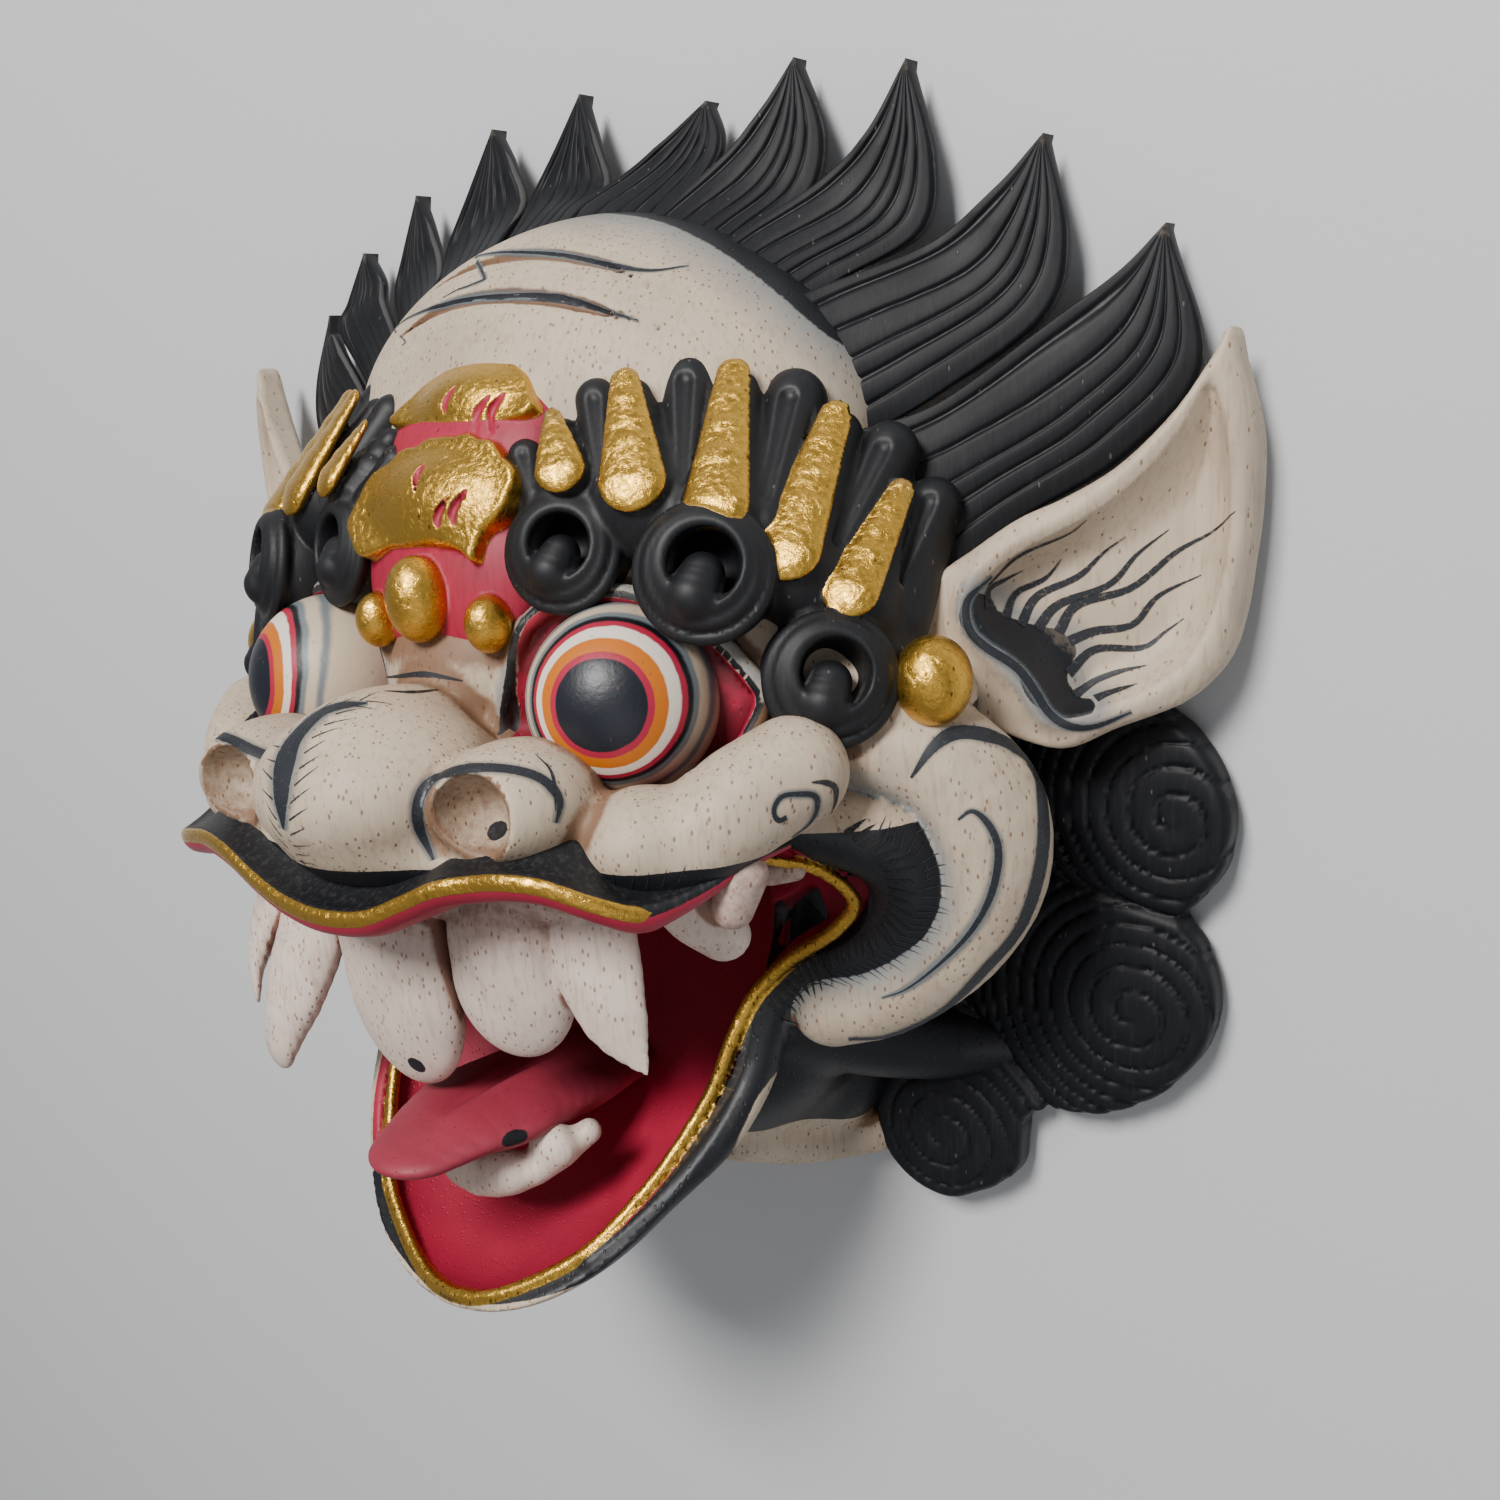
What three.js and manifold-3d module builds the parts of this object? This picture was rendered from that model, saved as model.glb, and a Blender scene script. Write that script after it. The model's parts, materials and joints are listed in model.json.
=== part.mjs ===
// A carved and painted wooden mask of a wide-mouthed mythical beast, lying on its flat back.
//
// Millimetres. +X is the viewer's right when facing the mask, +Y runs from the jaw to the hair, and +Z
// comes out of the face. The model is laid out with y = 0 at the pupils, and the whole group is shifted
// at the end so that the origin is the centre of the box's underside.
import * as THREE from "three";
import { mergeVertices } from "three/addons/utils/BufferGeometryUtils.js";
import Module from "manifold-3d";

const wasm = await Module();
wasm.setup();

// Driving dimensions.
const PLATE_THICKNESS = 12; // hair crest and beard, at their rims
const JOINT_GAP = 0.4; // clearance round each piece that is let into the head
const SKULL = { at: [0, 36, 20], radii: [72, 66, 64] };
const HOLLOW = { at: [0, 6, -8], radii: [62, 76, 66] };
const EYE = { at: [54, 0, 88], radius: 22 };
const JAW = {
  at: [0, -84, 68], // centre of the rim ellipse
  drop: 47.5, // degrees that the rim plane hangs below straight forward
  radii: [61, 79, 30], // half width, half length, depth below the rim
  wall: 8,
};
const EAR = { plane: [0.5, 93], thickness: 9, hollowDepth: 6 }; // its front lies on z = 93 - 0.5 x
const TONGUE = [
  [0, -108, 60],
  [0, -106, 88],
  [0, -106, 108],
  [0, -107, 118],
];
const LOWER_TEETH = [
  [-22, -110, 84],
  [-20, -116, 97],
  [0, -122, 105],
  [20, -116, 97],
  [22, -110, 84],
];

// Hair spikes from the crown outwards: the tip, then the notch that follows it.
const SPIKES_RIGHT = [
  [20, 128, 30, 111],
  [47, 132, 56, 102],
  [76, 127, 85, 89],
  [108, 107, 114, 74],
  [135, 86, 140, 56],
];
const SPIKES_LEFT = [
  [-17, 134, -33, 113],
  [-48, 130, -66, 103],
  [-79, 117, -89, 91],
  [-103, 104, -113, 84],
  [-121, 88, -133, 56],
];
const CROWN_NOTCH = [-6, 110];

// Beard curls as discs: centre and radius, from the cheek down.
const BEARD_CURLS = [
  { at: [121, -42], radius: 29 },
  { at: [114, -89], radius: 32 },
  { at: [77, -132], radius: 21 },
];

// Ear outline from the root, along the upper edge to the tip and back under the lobe.
const EAR_OUTLINE = [
  [97, 14],
  [104, 24],
  [118, 31],
  [132, 40],
  [144, 53],
  [152, 64],
  [155, 62],
  [155, 30],
  [152, 5],
  [143, -10],
  [129, -16],
  [115, -19],
  [103, -15],
  [97, -2],
];

// Brow lobes: root and tip of each gilded finger, then of each black flute between them.
const BROW_FINGERS = [
  [34, 42, 88, 29, 57, 82, 5.5],
  [52, 38, 86, 44, 65, 74, 6.5],
  [67, 36, 78, 58, 65, 60, 6.5],
  [79, 25, 70, 79, 55, 52, 6],
  [90, 15, 64, 92, 39, 48, 5.5],
];
const BROW_FLUTES = [
  [44, 40, 84, 36, 60, 76, 5],
  [60, 38, 80, 52, 65, 66, 5.5],
  [74, 32, 72, 68, 61, 54, 6.5],
  [86, 20, 64, 84, 50, 48, 6.5],
  [97, 5, 56, 96, 34, 44, 7],
];
const BROW_CURLS = [
  { at: [33, 29, 88], radius: 14, tilt: 0.25 },
  { at: [58, 25, 80], radius: 15, tilt: 0.5 },
  { at: [87, -1, 62], radius: 14, tilt: 0.75 },
];

const COLOURS = {
  ivory: [0xd8cbb8, 0.62, 0],
  tooth: [0xd9cabb, 0.6, 0],
  tongue: [0xb8485a, 0.6, 0],
  steel: [0x8c8c8c, 0.35, 1],
};

/** A closed geometry as a manifold-3d solid, with its shared vertices merged. */
function toSolid(geometry) {
  const bare = geometry.index ? geometry.toNonIndexed() : geometry.clone();
  for (const name of Object.keys(bare.attributes)) {
    if (name !== "position") bare.deleteAttribute(name);
  }
  const merged = mergeVertices(bare, 1e-4);
  return new wasm.Manifold(
    new wasm.Mesh({
      numProp: 3,
      vertProperties: new Float32Array(merged.attributes.position.array),
      triVerts: new Uint32Array(merged.index.array),
    }),
  );
}

/** A manifold-3d solid as a three.js geometry. */
function toGeometry(solid) {
  const mesh = solid.getMesh();
  const positions = new Float32Array(mesh.numVert * 3);
  for (let i = 0; i < mesh.numVert; i++) {
    const start = i * mesh.numProp;
    positions.set(mesh.vertProperties.subarray(start, start + 3), i * 3);
  }
  const geometry = new THREE.BufferGeometry();
  geometry.setAttribute("position", new THREE.BufferAttribute(positions, 3));
  geometry.setIndex(new THREE.BufferAttribute(mesh.triVerts, 1));
  geometry.computeVertexNormals();
  return geometry;
}

/** The union of a list of solids. */
function join(solids) {
  return solids.reduce((all, next) => all.add(next));
}

/** An ellipsoid, turned about x by `pitch` and then about y by `yaw`, in radians. */
function ellipsoid(at, radii, { pitch = 0, yaw = 0, across = 10, down = 6 } = {}) {
  const geometry = new THREE.SphereGeometry(1, across, down);
  geometry.scale(...radii);
  geometry.rotateX(pitch);
  geometry.rotateY(yaw);
  geometry.translate(...at);
  return toSolid(geometry);
}

/** A round-ended tube through the points, whose radius runs through the radii and whose section is
 *  `flat` times as high, along z, as it is wide. */
function taperedTube(points, radii, { sides = 6, steps = 5, flat = 1 } = {}) {
  const curve = new THREE.CatmullRomCurve3(points.map((p) => new THREE.Vector3(...p)));
  const rings = [];
  for (let i = 0; i <= steps; i++) {
    const t = i / steps;
    const along = t * (radii.length - 1);
    const k = Math.min(Math.floor(along), radii.length - 2);
    const radius = THREE.MathUtils.lerp(radii[k], radii[k + 1], along - k);
    rings.push({ centre: curve.getPoint(t), tangent: curve.getTangent(t), radius });
  }
  const cap = (ring, sign) => ({
    centre: ring.centre.clone().addScaledVector(ring.tangent, sign * ring.radius * Math.SQRT1_2),
    tangent: ring.tangent,
    radius: ring.radius * Math.SQRT1_2,
  });
  const first = rings[0];
  const last = rings[steps];
  const all = [cap(first, -1), ...rings, cap(last, 1)];
  const positions = [];
  const side = new THREE.Vector3(0, 0, 1).cross(first.tangent);
  if (side.length() < 0.1) side.set(1, 0, 0);
  for (const { centre, tangent, radius } of all) {
    side.addScaledVector(tangent, -side.dot(tangent)).normalize();
    const rise = tangent.clone().cross(side);
    for (let s = 0; s < sides; s++) {
      const angle = (2 * Math.PI * s) / sides;
      const point = centre
        .clone()
        .addScaledVector(side, radius * Math.cos(angle))
        .addScaledVector(rise, radius * flat * Math.sin(angle));
      positions.push(point.x, point.y, point.z);
    }
  }
  const poles = positions.length / 3;
  for (const [ring, sign] of [[first, -1], [last, 1]]) {
    const pole = ring.centre.clone().addScaledVector(ring.tangent, sign * ring.radius);
    positions.push(pole.x, pole.y, pole.z);
  }
  const index = [];
  for (let r = 0; r + 1 < all.length; r++) {
    for (let s = 0; s < sides; s++) {
      const a = r * sides + s;
      const b = r * sides + ((s + 1) % sides);
      index.push(a, b, b + sides, a, b + sides, a + sides);
    }
  }
  const end = (all.length - 1) * sides;
  for (let s = 0; s < sides; s++) {
    const next = (s + 1) % sides;
    index.push(poles, next, s, poles + 1, end + s, end + next);
  }
  const geometry = new THREE.BufferGeometry();
  geometry.setAttribute("position", new THREE.Float32BufferAttribute(positions, 3));
  geometry.setIndex(index);
  return toSolid(geometry);
}

/** A flat plate of the given outline between two heights. */
function plate(outline, low, high) {
  const shape = outline instanceof THREE.Shape ? outline : smoothShape(outline);
  const geometry = new THREE.ExtrudeGeometry(shape, {
    depth: high - low,
    bevelEnabled: false,
    curveSegments: 2,
  });
  geometry.translate(0, 0, low);
  return toSolid(geometry);
}

/** A straight-sided closed outline through the points. */
function smoothShape(points) {
  const shape = new THREE.Shape();
  shape.setFromPoints(points.map(([x, y]) => new THREE.Vector2(x, y)));
  return shape;
}

/** The same list of x, y, z points on the other side of the face when side is -1. */
function onSide(points, side) {
  return points.map(([x, y, z]) => [x * side, y, z]);
}

/** One solid for each side of the face. */
function pair(build) {
  return [build(1), build(-1)];
}

/** Flame-tipped outline of the hair crest: each lock curves up to its tip and falls steeply to its notch. */
function hairOutline() {
  const shape = new THREE.Shape();
  const addLocks = (spikes, from) => {
    let [x, y] = from;
    for (const [tipX, tipY, notchX, notchY] of spikes) {
      shape.quadraticCurveTo(tipX - 0.25 * (tipX - x), y + 0.15 * (tipY - y), tipX, tipY);
      const fall = [notchX * 0.35 + tipX * 0.65, notchY * 0.5 + tipY * 0.5];
      shape.quadraticCurveTo(...fall, notchX, notchY);
      [x, y] = [notchX, notchY];
    }
  };
  shape.moveTo(...CROWN_NOTCH);
  addLocks(SPIKES_RIGHT, CROWN_NOTCH);
  shape.lineTo(112, 20);
  shape.lineTo(108, -20);
  shape.lineTo(-108, -20);
  shape.lineTo(-112, 20);
  const inwards = [];
  let from = CROWN_NOTCH;
  for (const [tipX, tipY, notchX, notchY] of SPIKES_LEFT) {
    inwards.unshift([tipX, tipY, from[0], from[1]]);
    from = [notchX, notchY];
  }
  shape.lineTo(...from);
  for (const [tipX, tipY, notchX, notchY] of inwards) {
    const [startX, startY] = from;
    shape.quadraticCurveTo(startX * 0.35 + tipX * 0.65, (startY + tipY) / 2, tipX, tipY);
    shape.quadraticCurveTo(tipX - 0.25 * (tipX - notchX), notchY + 0.15 * (tipY - notchY), notchX, notchY);
    from = [notchX, notchY];
  }
  return shape;
}

/** Hair: the crest plate, and a raised lock from the brow to each spike's tip. */
function hair() {
  const locks = [...SPIKES_RIGHT, ...SPIKES_LEFT].map(([tipX, tipY]) => {
    const root = [tipX * 0.52, 34 + tipY * 0.38, 24];
    const middle = [tipX * 0.8, 22 + tipY * 0.66, 15];
    return taperedTube([root, middle, [tipX * 0.97, tipY * 0.965, 8]], [14, 10, 2], { flat: 0.55, steps: 2, sides: 5 });
  });
  return join([
    plate(hairOutline(), 0, PLATE_THICKNESS),
    ellipsoid([0, 34, 0], [104, 88, 30], { across: 14, down: 8 }),
    ...locks,
  ]);
}

/** Beard: three coiled lobes a side, joined across to the chin. */
function beard() {
  const lobes = pair((side) =>
    join(
      BEARD_CURLS.map(({ at: [x, y], radius }, i) => {
        const thickness = PLATE_THICKNESS - 0.35 * i;
        const disc = new THREE.CylinderGeometry(radius - 1.5, radius, thickness, 14);
        disc.rotateX(Math.PI / 2);
        disc.translate(x * side, y, thickness / 2);
        return join([
          toSolid(disc),
          ellipsoid([x * side, y, thickness], [radius * 0.8, radius * 0.8, 4], { across: 8, down: 4 }),
        ]);
      }),
    ),
  );
  const web = [
    [112, -18],
    [120, -70],
    [100, -122],
    [62, -122],
    [-62, -122],
    [-100, -122],
    [-120, -70],
    [-112, -18],
  ];
  return join([
    ...lobes,
    plate(web.slice().reverse(), 0, PLATE_THICKNESS - 1),
    ellipsoid([0, -62, 0], [100, 66, 36], { across: 14, down: 8 }),
  ]);
}

/** The ivory bar below the jaw that the chin runs back to. */
function chinBar() {
  return taperedTube(
    [
      [-50, -137, 9],
      [0, -142, 9],
      [50, -137, 9],
    ],
    [12, 14, 12],
    { flat: 0.64, sides: 12 },
  );
}

/** Skull, muzzle, nose, eyes, cheeks and lips, before anything is cut away. */
function face() {
  const sides = pair((side) => {
    const at = (x, y, z) => [x * side, y, z];
    const roll = [
      [34, -23, 98],
      [58, -27, 103],
      [80, -21, 97],
      [97, -12, 84],
      [98, -2, 70],
    ];
    const cheek = [
      [80, -17, 62],
      [98, -18, 57],
      [112, -28, 48],
      [115, -42, 42],
      [108, -58, 42],
      [92, -73, 44],
      [74, -83, 50],
    ];
    const mouthCorner = [
      [72, -37, 78],
      [84, -43, 66],
      [90, -56, 55],
      [82, -68, 54],
      [70, -80, 60],
      [60, -96, 74],
    ];
    return join([
      ellipsoid(at(...EYE.at), [EYE.radius, EYE.radius, EYE.radius], { across: 12, down: 7 }),
      ellipsoid(at(50, 2, 74), [36, 26, 30]),
      ellipsoid(at(42, -14, 115), [17, 15, 19]),
      ellipsoid(at(67, -30, 108), [12, 10, 12], { across: 8, down: 5 }),
      ellipsoid(at(78, -36, 98), [8, 8, 9], { across: 8, down: 5 }),
      taperedTube(onSide(roll, side), [10, 12, 12, 12, 8], { steps: 4 }),
      taperedTube(onSide(cheek, side), [10, 13, 13, 13, 13, 13, 9], { steps: 6 }),
      taperedTube(onSide(mouthCorner, side), [9, 9, 9, 9, 9, 8], { steps: 4 }),
      ellipsoid(at(103, -1, 58), [8, 11, 9], { across: 8, down: 5 }),
    ]);
  });
  const lip = [
    [-82, -32, 96],
    [-72, -37, 117],
    [-50, -28, 133],
    [-26, -34, 138],
    [0, -39, 139],
    [26, -34, 138],
    [50, -28, 133],
    [72, -37, 117],
    [82, -32, 96],
  ];
  return join([
    ellipsoid(SKULL.at, SKULL.radii, { across: 16, down: 9 }),
    ellipsoid([0, -8, 42], [90, 62, 52], { across: 16, down: 9 }),
    ellipsoid([0, -20, 88], [62, 25, 50], { across: 16, down: 9 }),
    ellipsoid([0, -13, 118], [29, 19, 29]),
    ellipsoid([0, -28, 114], [56, 13, 27]),
    taperedTube(lip, [3, 4, 4, 4, 4, 4, 4, 4, 3], { steps: 10, flat: 0.9 }),
    ...sides,
  ]);
}

/** Brows: curls along the arch, and the fan of gilded fingers and black flutes above them. */
function brows() {
  const sides = pair((side) => {
    const arch = [
      [16, 22, 84],
      [38, 34, 80],
      [64, 28, 70],
      [88, 8, 54],
      [94, -6, 52],
    ];
    const lobes = [...BROW_FINGERS, ...BROW_FLUTES].map(([x0, y0, z0, x1, y1, z1, r]) =>
      taperedTube(onSide([[x0, y0, z0 - 4], [x1, y1, z1 - 5]], side), [r + 1, r], { steps: 1, sides: 5 }),
    );
    const curls = BROW_CURLS.map(({ at: [x, y, z], radius, tilt }) => {
      const profile = [];
      for (let i = 0; i < 5; i++) {
        const angle = (2 * Math.PI * i) / 5;
        const tube = radius * 0.42;
        profile.push(new THREE.Vector2(radius - tube + tube * Math.cos(angle), tube * Math.sin(angle)));
      }
      profile.push(profile[0].clone());
      const ring = new THREE.LatheGeometry(profile, 9);
      ring.rotateX(Math.PI / 2);
      ring.rotateY(tilt * side);
      ring.translate(x * side, y, z);
      return toSolid(ring);
    });
    return join([
      taperedTube(onSide(arch, side), [12, 15, 16, 15, 12], { steps: 5, sides: 8 }),
      ...lobes,
      ...curls,
    ]);
  });
  return join(sides);
}

/** The gilded crest between the brows: two scalloped leaves over three bosses. */
function crest() {
  return join([
    ellipsoid([0, 58, 72], [19, 13, 13]),
    ellipsoid([0, 40, 84], [22, 16, 13]),
    ellipsoid([0, 16, 88], [22, 16, 14]),
    ellipsoid([0, 19, 98], [10, 11, 8], { across: 12, down: 7 }),
    ...pair((side) => ellipsoid([18 * side, 15, 95], [6.5, 8, 6.5], { across: 8, down: 5 })),
  ]);
}

/** A body shaped like the jaw, cut off along its rim plane; `inset` shrinks it all round. */
function jawBowl(inset) {
  const pitch = THREE.MathUtils.degToRad(JAW.drop);
  const [width, length, depth] = JAW.radii.map((radius) => radius - inset);
  return ellipsoid(JAW.at, [width, depth, length], { pitch, across: 20, down: 8 });
}

/** The half space above the jaw's rim plane, as a large box. */
function aboveRim() {
  const box = new THREE.BoxGeometry(300, 200, 400);
  box.translate(0, 100, 0);
  box.rotateX(THREE.MathUtils.degToRad(JAW.drop));
  box.translate(...JAW.at);
  return toSolid(box);
}

/** Everything that is cut out of the head except the seats of the set-in pieces. */
function cavities() {
  const mouth = [
    ellipsoid([0, -60, 84], [76, 21, 50], { across: 16, down: 9 }),
    ellipsoid([0, -78, 88], [52, 26, 44], { across: 16, down: 9 }),
  ];
  const nostrils = pair((side) => ellipsoid([42 * side, -15, 136], [9, 8, 12], { across: 8, down: 5 }));
  return join([
    jawBowl(JAW.wall),
    ...mouth,
    ...nostrils,
    ellipsoid(HOLLOW.at, HOLLOW.radii, { across: 16, down: 9 }),
  ]);
}

/** An ear, grown all round by `grow`: a leaf of even thickness that leans back towards its tip. */
function ear(side, grow) {
  const centre = new THREE.Box2().setFromPoints(EAR_OUTLINE.map(([x, y]) => new THREE.Vector2(x, y)));
  const middle = centre.getCenter(new THREE.Vector2());
  const half = centre.getSize(new THREE.Vector2()).multiplyScalar(0.5);
  const outline = EAR_OUTLINE.map(([x, y]) => [
    (middle.x + (x - middle.x) * (1 + (2 * grow) / half.x)) * side,
    middle.y + (y - middle.y) * (1 + (2 * grow) / half.y),
  ]);
  if (side < 0) outline.reverse();
  const [slope, height] = EAR.plane;
  const shape = smoothShape(outline.reverse());
  const geometry = new THREE.ExtrudeGeometry(shape, {
    depth: EAR.thickness + 2 * grow,
    bevelEnabled: false,
  });
  const position = geometry.attributes.position;
  for (let i = 0; i < position.count; i++) {
    const front = height - slope * Math.abs(position.getX(i)) - EAR.thickness - grow;
    position.setZ(i, position.getZ(i) + front);
  }
  return toSolid(geometry);
}

/** The ear's scooped face. */
function earHollow(side) {
  const lean = Math.atan(EAR.plane[0]);
  return ellipsoid([130 * side, 14, 30], [20, 30, EAR.hollowDepth], {
    yaw: lean * side,
    across: 16,
    down: 8,
  });
}

/** The upper row of teeth on its curved bar, grown all round by `grow`. It hangs lower to the left. */
function upperTeeth(grow) {
  const bar = [
    [-56, -51, 86],
    [-40, -50, 99],
    [0, -48, 106],
    [40, -47, 99],
    [56, -47, 86],
  ];
  const incisor = (x, y, z, rx, ry, rz) => ellipsoid([x, y, z], [rx + grow, ry + grow, rz + grow]);
  const fang = (root, middle, tip, wide) =>
    taperedTube([root, middle, tip], [8, wide, 3].map((r) => r + grow), { steps: 3 });
  return join([
    taperedTube(bar, [7, 7].map((r) => r + grow), { steps: 5 }),
    incisor(19, -63, 106, 18, 20, 8),
    incisor(-20, -70, 107, 20, 27, 8),
    fang([44, -50, 96], [47, -63, 99], [54, -78, 103], 8),
    fang([-46, -52, 98], [-52, -72, 104], [-60, -92, 112], 9),
  ]);
}

/** The tongue, grown all round by `grow`. */
function tongue(grow) {
  const flat = 0.32;
  return taperedTube(TONGUE, [15, 19, 18, 12].map((r) => r + grow / flat), { steps: 6, sides: 12, flat });
}

/** The lower row of teeth under the tongue, grown all round by `grow`. */
function lowerTeeth(grow) {
  return taperedTube(LOWER_TEETH, [5 + grow, 5 + grow], { steps: 8 });
}

/** The gum that the tongue and the lower teeth are let into. */
function gum() {
  return ellipsoid([0, -113, 70], [28, 13, 28], { across: 14, down: 8 });
}

/** A screw eye: a ring on a shank that runs down into the hair; grown, it is the slot it hangs in. */
function hangingEye(grow) {
  const profile = [];
  for (let i = 0; i < 8; i++) {
    const angle = (2 * Math.PI * i) / 8;
    profile.push(new THREE.Vector2(3 + Math.cos(angle), Math.sin(angle)));
  }
  profile.push(profile[0].clone());
  const ring = new THREE.LatheGeometry(profile, 20);
  ring.rotateX(Math.PI / 2);
  ring.translate(0, 3.4, 0);
  const shank = new THREE.CylinderGeometry(1 + grow, 1 + grow, 10, 12);
  shank.translate(0, -5, 0);
  const hole = new THREE.CylinderGeometry(5, 5, 40, 14);
  hole.rotateX(Math.PI / 2);
  hole.translate(0, 3.4, 0);
  return join([toSolid(grow ? hole : ring), toSolid(shank)]).translate([31, 110, 5]);
}

/** The head with its hollows, and with a seat for each piece that is let into it. */
function head() {
  const jaw = jawBowl(0).subtract(aboveRim());
  const floor = toSolid(new THREE.BoxGeometry(600, 600, 200).translate(0, 0, -100));
  const solid = join([face(), brows(), crest(), hair(), beard(), chinBar(), jaw]);
  const seats = join([
    ear(1, JOINT_GAP),
    ear(-1, JOINT_GAP),
    upperTeeth(JOINT_GAP),
    tongue(JOINT_GAP),
    lowerTeeth(JOINT_GAP),
    hangingEye(JOINT_GAP),
  ]);
  return solid.subtract(join([cavities(), floor])).add(gum().subtract(floor)).subtract(seats);
}

/** The largest body of a solid, without any crumbs that a cut has left. */
function largestBody(solid) {
  return solid.decompose().reduce((best, body) => (body.volume() > best.volume() ? body : best));
}

const pieces = {
  head: [head(), "ivory"],
  ear_right: [ear(1, 0).subtract(earHollow(1)), "ivory"],
  ear_left: [ear(-1, 0).subtract(earHollow(-1)), "ivory"],
  upper_teeth: [upperTeeth(0), "tooth"],
  lower_teeth: [lowerTeeth(0), "tooth"],
  tongue: [tongue(0), "tongue"],
  hanging_eye: [hangingEye(0), "steel"],
};

const mask = new THREE.Group();
for (const [name, [solid, colour]] of Object.entries(pieces)) {
  const [hex, roughness, metalness] = COLOURS[colour];
  const material = new THREE.MeshStandardMaterial({ color: hex, roughness, metalness });
  const mesh = new THREE.Mesh(toGeometry(largestBody(solid)), material);
  mesh.name = name;
  mask.add(mesh);
}
const box = new THREE.Box3().setFromObject(mask);
mask.position.set(-(box.min.x + box.max.x) / 2, -(box.min.y + box.max.y) / 2, -box.min.z);

export default mask;
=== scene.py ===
"""A carved, painted and gilded wooden beast mask, lying face up on a pale floor.

The shapes are written in a working frame in millimetres: +X to the viewer's right, +Y from the jaw to the
hair with y = 0 at the pupils, and +Z out of the face. Placement turns it into the frame's metres. Each
carved sub-assembly is a signed distance form that is turned into a mesh, and each vertex keeps how far it
lies from the edges of the paint, so that the finishes meet in clean lines.
"""

import json
import logging
import math
from collections.abc import Callable
from dataclasses import dataclass, field
from enum import Enum

import bpy
import numpy as np
from mathutils import Matrix, Vector
from mathutils.bvhtree import BVHTree

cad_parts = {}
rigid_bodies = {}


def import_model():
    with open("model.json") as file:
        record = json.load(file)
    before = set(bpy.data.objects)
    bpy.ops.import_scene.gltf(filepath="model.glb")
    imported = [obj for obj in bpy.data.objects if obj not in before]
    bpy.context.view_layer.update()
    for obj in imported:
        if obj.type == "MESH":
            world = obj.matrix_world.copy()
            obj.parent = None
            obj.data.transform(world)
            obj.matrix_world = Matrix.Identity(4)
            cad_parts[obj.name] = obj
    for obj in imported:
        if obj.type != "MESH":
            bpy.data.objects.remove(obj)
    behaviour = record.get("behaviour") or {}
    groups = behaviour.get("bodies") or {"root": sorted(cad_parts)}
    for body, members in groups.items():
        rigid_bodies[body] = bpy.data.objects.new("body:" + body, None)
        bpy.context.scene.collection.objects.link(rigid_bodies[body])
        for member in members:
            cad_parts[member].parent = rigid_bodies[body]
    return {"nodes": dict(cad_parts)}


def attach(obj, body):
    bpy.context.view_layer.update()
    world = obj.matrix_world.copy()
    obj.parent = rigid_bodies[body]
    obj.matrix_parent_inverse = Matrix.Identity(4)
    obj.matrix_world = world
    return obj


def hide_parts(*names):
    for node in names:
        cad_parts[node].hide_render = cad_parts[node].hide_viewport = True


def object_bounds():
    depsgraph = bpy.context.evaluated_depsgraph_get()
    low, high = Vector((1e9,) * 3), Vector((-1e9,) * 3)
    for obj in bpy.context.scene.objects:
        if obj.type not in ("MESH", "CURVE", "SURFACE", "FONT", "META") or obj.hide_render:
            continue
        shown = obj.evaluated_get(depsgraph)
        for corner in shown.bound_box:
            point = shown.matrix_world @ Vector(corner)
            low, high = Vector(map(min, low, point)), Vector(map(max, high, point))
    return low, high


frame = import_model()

log = logging.getLogger("mask")

Array = np.ndarray
Point = tuple[float, float, float]
Flat = tuple[float, float]
Locks = tuple[tuple[tuple[Point, ...], tuple[Point, ...]], ...]
Tint = tuple[float, float, float, float]
Piece = bpy.types.Object
Material = bpy.types.Material
Tree = bpy.types.NodeTree
Node = bpy.types.Node
Socket = bpy.types.NodeSocket
Sockets = dict[str, Socket]
Value = Socket | float

MM = 0.001
FAR = 14.0  # a distance in mm past which forms no longer matter to each other
HAIR_TOP = 134.0  # y of the highest hair tip in the working frame
LOW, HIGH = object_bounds()
SHIFT_Y = HIGH[1] / MM - HAIR_TOP


# --- forms


class Form:
    """A solid given by its signed distance, negative inside, in the working frame."""

    low: Array
    high: Array

    def raw(self, points: Array) -> Array:
        """The signed distance at points near the form."""
        raise NotImplementedError

    def distance(self, points: Array) -> Array:
        """The signed distance, cut off at FAR.

        Args:
            points: N by 3 places.

        Returns:
            N distances.
        """
        near = ((points > self.low - FAR) & (points < self.high + FAR)).all(axis=1)
        out = np.full(len(points), FAR, dtype=np.float32)
        if near.any():
            out[near] = np.minimum(self.raw(points[near]), FAR)
        return out


def turning(pitch: float = 0.0, yaw: float = 0.0, roll: float = 0.0) -> Array:
    """The rotation by roll about z, then pitch about x, then yaw about y, in degrees."""
    turn = Matrix.Rotation(math.radians(yaw), 3, "Y") @ Matrix.Rotation(math.radians(pitch), 3, "X")
    return np.array(turn @ Matrix.Rotation(math.radians(roll), 3, "Z"), dtype=np.float32)


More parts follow.
